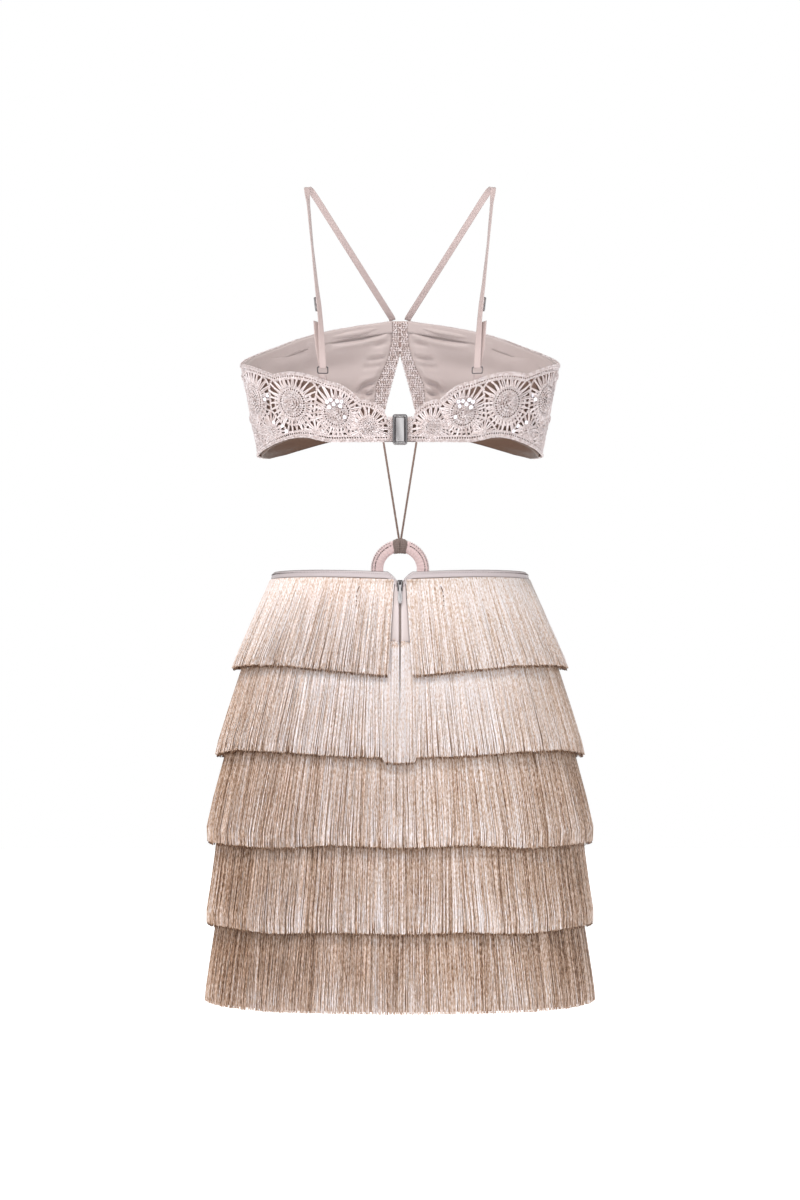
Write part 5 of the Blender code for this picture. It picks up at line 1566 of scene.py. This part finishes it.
def build_wraps():
    stitches = []
    for name, middle in (("upper", 90.0), ("lower", 270.0)):
        steps = np.linspace(-1.0, 1.0, 45)[:, None]
        section = np.linspace(0.0, math.tau, 41)[None, :-1]
        folds = 0.30 * np.sin(steps * 15.0 + 1.5 * np.sin(section)) + 0.18 * np.sin(steps * 33.0 + section * 2.0)
        ends = 1.0 - 0.5 * np.abs(steps) ** 3
        peak = 0.9 * (1.0 - np.abs(steps)) ** 1.5 * np.clip(np.cos(section), 0.0, 1.0)
        crease = 0.55 * np.exp(-(steps / 0.09) ** 2)
        centre, half = sum(RING_RADII) / 2, (RING_RADII[1] - RING_RADII[0]) / 2
        turn = middle + (WRAP_HALF_ANGLE - 4.1 * np.cos(section)) * steps
        ways = []
        for extra in (0.45, 1.25):
            reach = extra * ends + folds * 0.5
            across = blunt(np.cos(section), 0.45) * (half + reach) + peak
            deep = blunt(np.sin(section), 0.45)
            ways.append(ring_place(turn, centre + across, deep * (RING_THICKNESS / 2 + reach * 0.9 - crease)))
        inner, outer = (np.swapaxes(w, 0, 1) for w in ways)
        points, faces = wall(inner, outer, closed=True)
        uvs = np.stack([steps.T * 7.0 + 0.0 * section.T, section.T * 5.0 + 0.0 * steps.T], -1).reshape(-1, 2)
        made = add_piece(f"wrap_{name}", points, faces, WRAP_CLOTH, uvs=np.concatenate([uvs, uvs]),
                         replaces=[f"ring_wrap_{name}"], slot="wrap_cloth")
        face_outwards(made)
        for face in (-1.0, 1.0):
            for radius in (20.0, 22.6, 25.2):
                path = [(middle, radius, face * 2.4), (middle + 0.3, radius + 0.8, face * 2.75),
                        (middle, radius + 1.7, face * 2.4)]
                stitches.append(run(path, 0.3, 0.1))
    strands("wrap_stitches", stitches, ring_place, DARK_THREAD, sides=4)


build_wraps()

# %% [markdown]
# The two cords hang taut from the cups' inner corners to the upper wrap. Each is three strands that
# twist round one another, so each strand is a helix about a straight line.

# %% Front cords
def build_cords():
    for name, side in SIDES:
        top = band(FRONT, side)(arc_at(83.7) - 1.44, -249.1, 1.95)
        foot = np.array((side * 1.15, RING_CENTRE[0], RING_CENTRE[1] + RING_RADII[1] + 1.7))
        t = np.linspace(0.0, 1.0, 151)[:, None]
        line = top + (foot - top) * t
        length = float(np.linalg.norm(foot - top))
        runs = []
        for k in range(3):
            turn = t * length / 3.4 * math.tau + k * math.tau / 3
            runs.append(run(line + 0.42 * np.concatenate([np.cos(turn), np.sin(turn), 0.0 * turn], 1), 0.8, 0.5))
        strands(f"front_cord_twist_{name}", runs, None, CORD, sides=5, replaces=[f"front_cord_{name}"])
    print("each cord, mm:", round(length, 1))


build_cords()

# %% [markdown]
# A dark strand along the foot of each tab, out to the clasp, is a painted shadow line: the shade under the clasp's
# loop.

# %% Painted shadow at the clasp
def build_clasp_shadow_lines():
    runs = []
    for side in (-1.0, 1.0):
        across = np.linspace(7.2, 15.6, 5)
        runs.append(run(np.stack([side * across, -100.6 + 0.0 * across, -258.4 + 0.0 * across], -1), 0.42, 0.3))
    strands("clasp_shadow_lines", runs, None, DARK_THREAD, sides=5)


build_clasp_shadow_lines()

# %% [markdown]
# ## Sequins
# A few sequins are sewn to the crochet, each a disc just under 4 mm across with a hole, slightly tilted.

# %% Sequins
SEQUINS = (
    # photo's distance from the centre and height
    (130.2, -211.3), (133.1, -214.8), (124.0, -237.8), (115.5, -241.7), (111.2, -246.9), (53.9, -234.2),
    (71.0, -219.0), (67.5, -217.3), (64.6, -221.5), (61.2, -218.6), (58.0, -223.4), (69.0, -224.4), (56.8, -219.2),
)


SEQUIN_RIM, SEQUIN_HOLE, SEQUIN_SIDES = 1.85, 0.6, 14


def build_sequins():
    rng = np.random.default_rng(71)
    points, faces = [], []
    for side in (-1.0, 1.0):
        for x, z in SEQUINS:
            t = (z - BAND_BOTTOM) / (BAND_TOP - BAND_BOTTOM)
            low, high = BAND_HALF_WIDTH
            angle = math.acos(x / (low + (high - low) * t + 5.0))
            arc = float(np.interp(angle, ANGLES, ARCS))
            tilt = rng.normal(0.0, 0.18, 2)
            first = len(points)
            for out, rim in ((0.0, SEQUIN_RIM), (0.0, SEQUIN_HOLE), (0.25, SEQUIN_HOLE), (0.25, SEQUIN_RIM)):
                for k in range(SEQUIN_SIDES):
                    turn = math.tau * k / SEQUIN_SIDES
                    u, v = rim * math.cos(turn), rim * math.sin(turn)
                    points.append(band(BACK, side)(arc + u, z + v, 5.7 + out + u * tilt[0] + v * tilt[1]))
            for ring in range(4):
                for k in range(SEQUIN_SIDES):
                    m = (k + 1) % SEQUIN_SIDES
                    a, b = first + ring * SEQUIN_SIDES, first + (ring + 1) % 4 * SEQUIN_SIDES
                    faces.append((a + k, a + m, b + m, b + k))
    made = add_piece("sequins", points, faces, FILM, slot="crochet_yarn", smooth_it=False)
    face_outwards(made)
    print("sequins:", 2 * len(SEQUINS))


build_sequins()

# %% [markdown]
# ## Studio
# The dress hangs over a pale floor in white air. Two large soft lights stand behind the camera, one on
# each side, and a third hangs over the dress, so that its upper faces are lighter.

# %% Floor and lights
FLOOR_REACH, FLOOR_HEIGHT = 8.0, -1.15


def build_studio():
    made, tree, shader = finish("pale studio paper", Roughness=0.9)
    shader.inputs["Base Color"].default_value = linear("#FAFAFA")
    shader.inputs["Emission Color"].default_value = linear("#FFFFFF")
    shader.inputs["Emission Strength"].default_value = 0.9
    mesh = bpy.data.meshes.new("studio_floor")
    corners = [(FLOOR_REACH * x, FLOOR_REACH * y, FLOOR_HEIGHT) for x, y in ((-1, -1), (1, -1), (1, 1), (-1, 1))]
    mesh.from_pydata(corners, [], [(0, 1, 2, 3)])
    mesh.materials.append(made)
    floor = bpy.data.objects.new("studio_floor", mesh)
    bpy.context.collection.objects.link(floor)


def soft_light(name, place, size, power, colour):
    """A rectangular lamp that faces the middle of the dress."""
    light = bpy.data.lights.new(name, "AREA")
    light.shape = "RECTANGLE"
    light.size, light.size_y = size
    light.energy = power
    light.color = linear(colour)[:3]
    made = bpy.data.objects.new(name, light)
    made.location = place
    aim = Vector((0.0, 0.0, CAMERA_HEIGHT)) - Vector(place)
    made.rotation_euler = aim.to_track_quat("-Z", "Y").to_euler()
    bpy.context.collection.objects.link(made)


def studio_air():
    """Light from all round, with bright bands behind the camera; the camera itself sees plain white."""
    world = bpy.data.worlds.new("studio_air")
    world.use_nodes = True
    tree = world.node_tree
    way = add(tree, "ShaderNodeTexCoord").outputs["Generated"]
    bands = add(tree, "ShaderNodeTexWave", {"Vector": way, "Scale": 1.1, "Distortion": 2.5, "Detail": 1.0},
                bands_direction="DIAGONAL").outputs["Fac"]
    across = add(tree, "ShaderNodeSeparateXYZ", {0: way}).outputs[1]
    level = maths(tree, "MULTIPLY", span(tree, bands, 0.0, 1.0, 0.5, 1.0), span(tree, across, 0.3, -0.85, 0.5, 0.95))
    seen = add(tree, "ShaderNodeLightPath").outputs["Is Camera Ray"]
    tree.links.new(maths(tree, "MAXIMUM", level, seen), tree.nodes["Background"].inputs["Strength"])
    tree.nodes["Background"].inputs["Color"].default_value = linear("#FFFFFF")
    bpy.context.scene.world = world


build_studio()
studio_air()
soft_light("light_top", (-0.5, -1.9, 2.1), (1.2, 0.8), 61.0, "#FFFCF9")
soft_light("light_left", (-2.4, -2.8, 0.6), (1.0, 1.4), 18.5, "#E4EDFF")
soft_light("light_right", (2.4, -2.8, 0.6), (1.0, 1.4), 16.0, "#E4EDFF")
bpy.context.scene.view_settings.view_transform = "Standard"
print("lights: three soft boxes and the air")

# %% [markdown]
# ## Count
# The triangles of every piece that this notebook adds are counted and printed.

# %% Count of triangles
bpy.context.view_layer.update()
added = [o for o in bpy.context.scene.objects if o.type == "MESH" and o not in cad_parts.values()]
print("triangles added:", sum(len(p.vertices) - 2 for o in added for p in o.data.polygons))
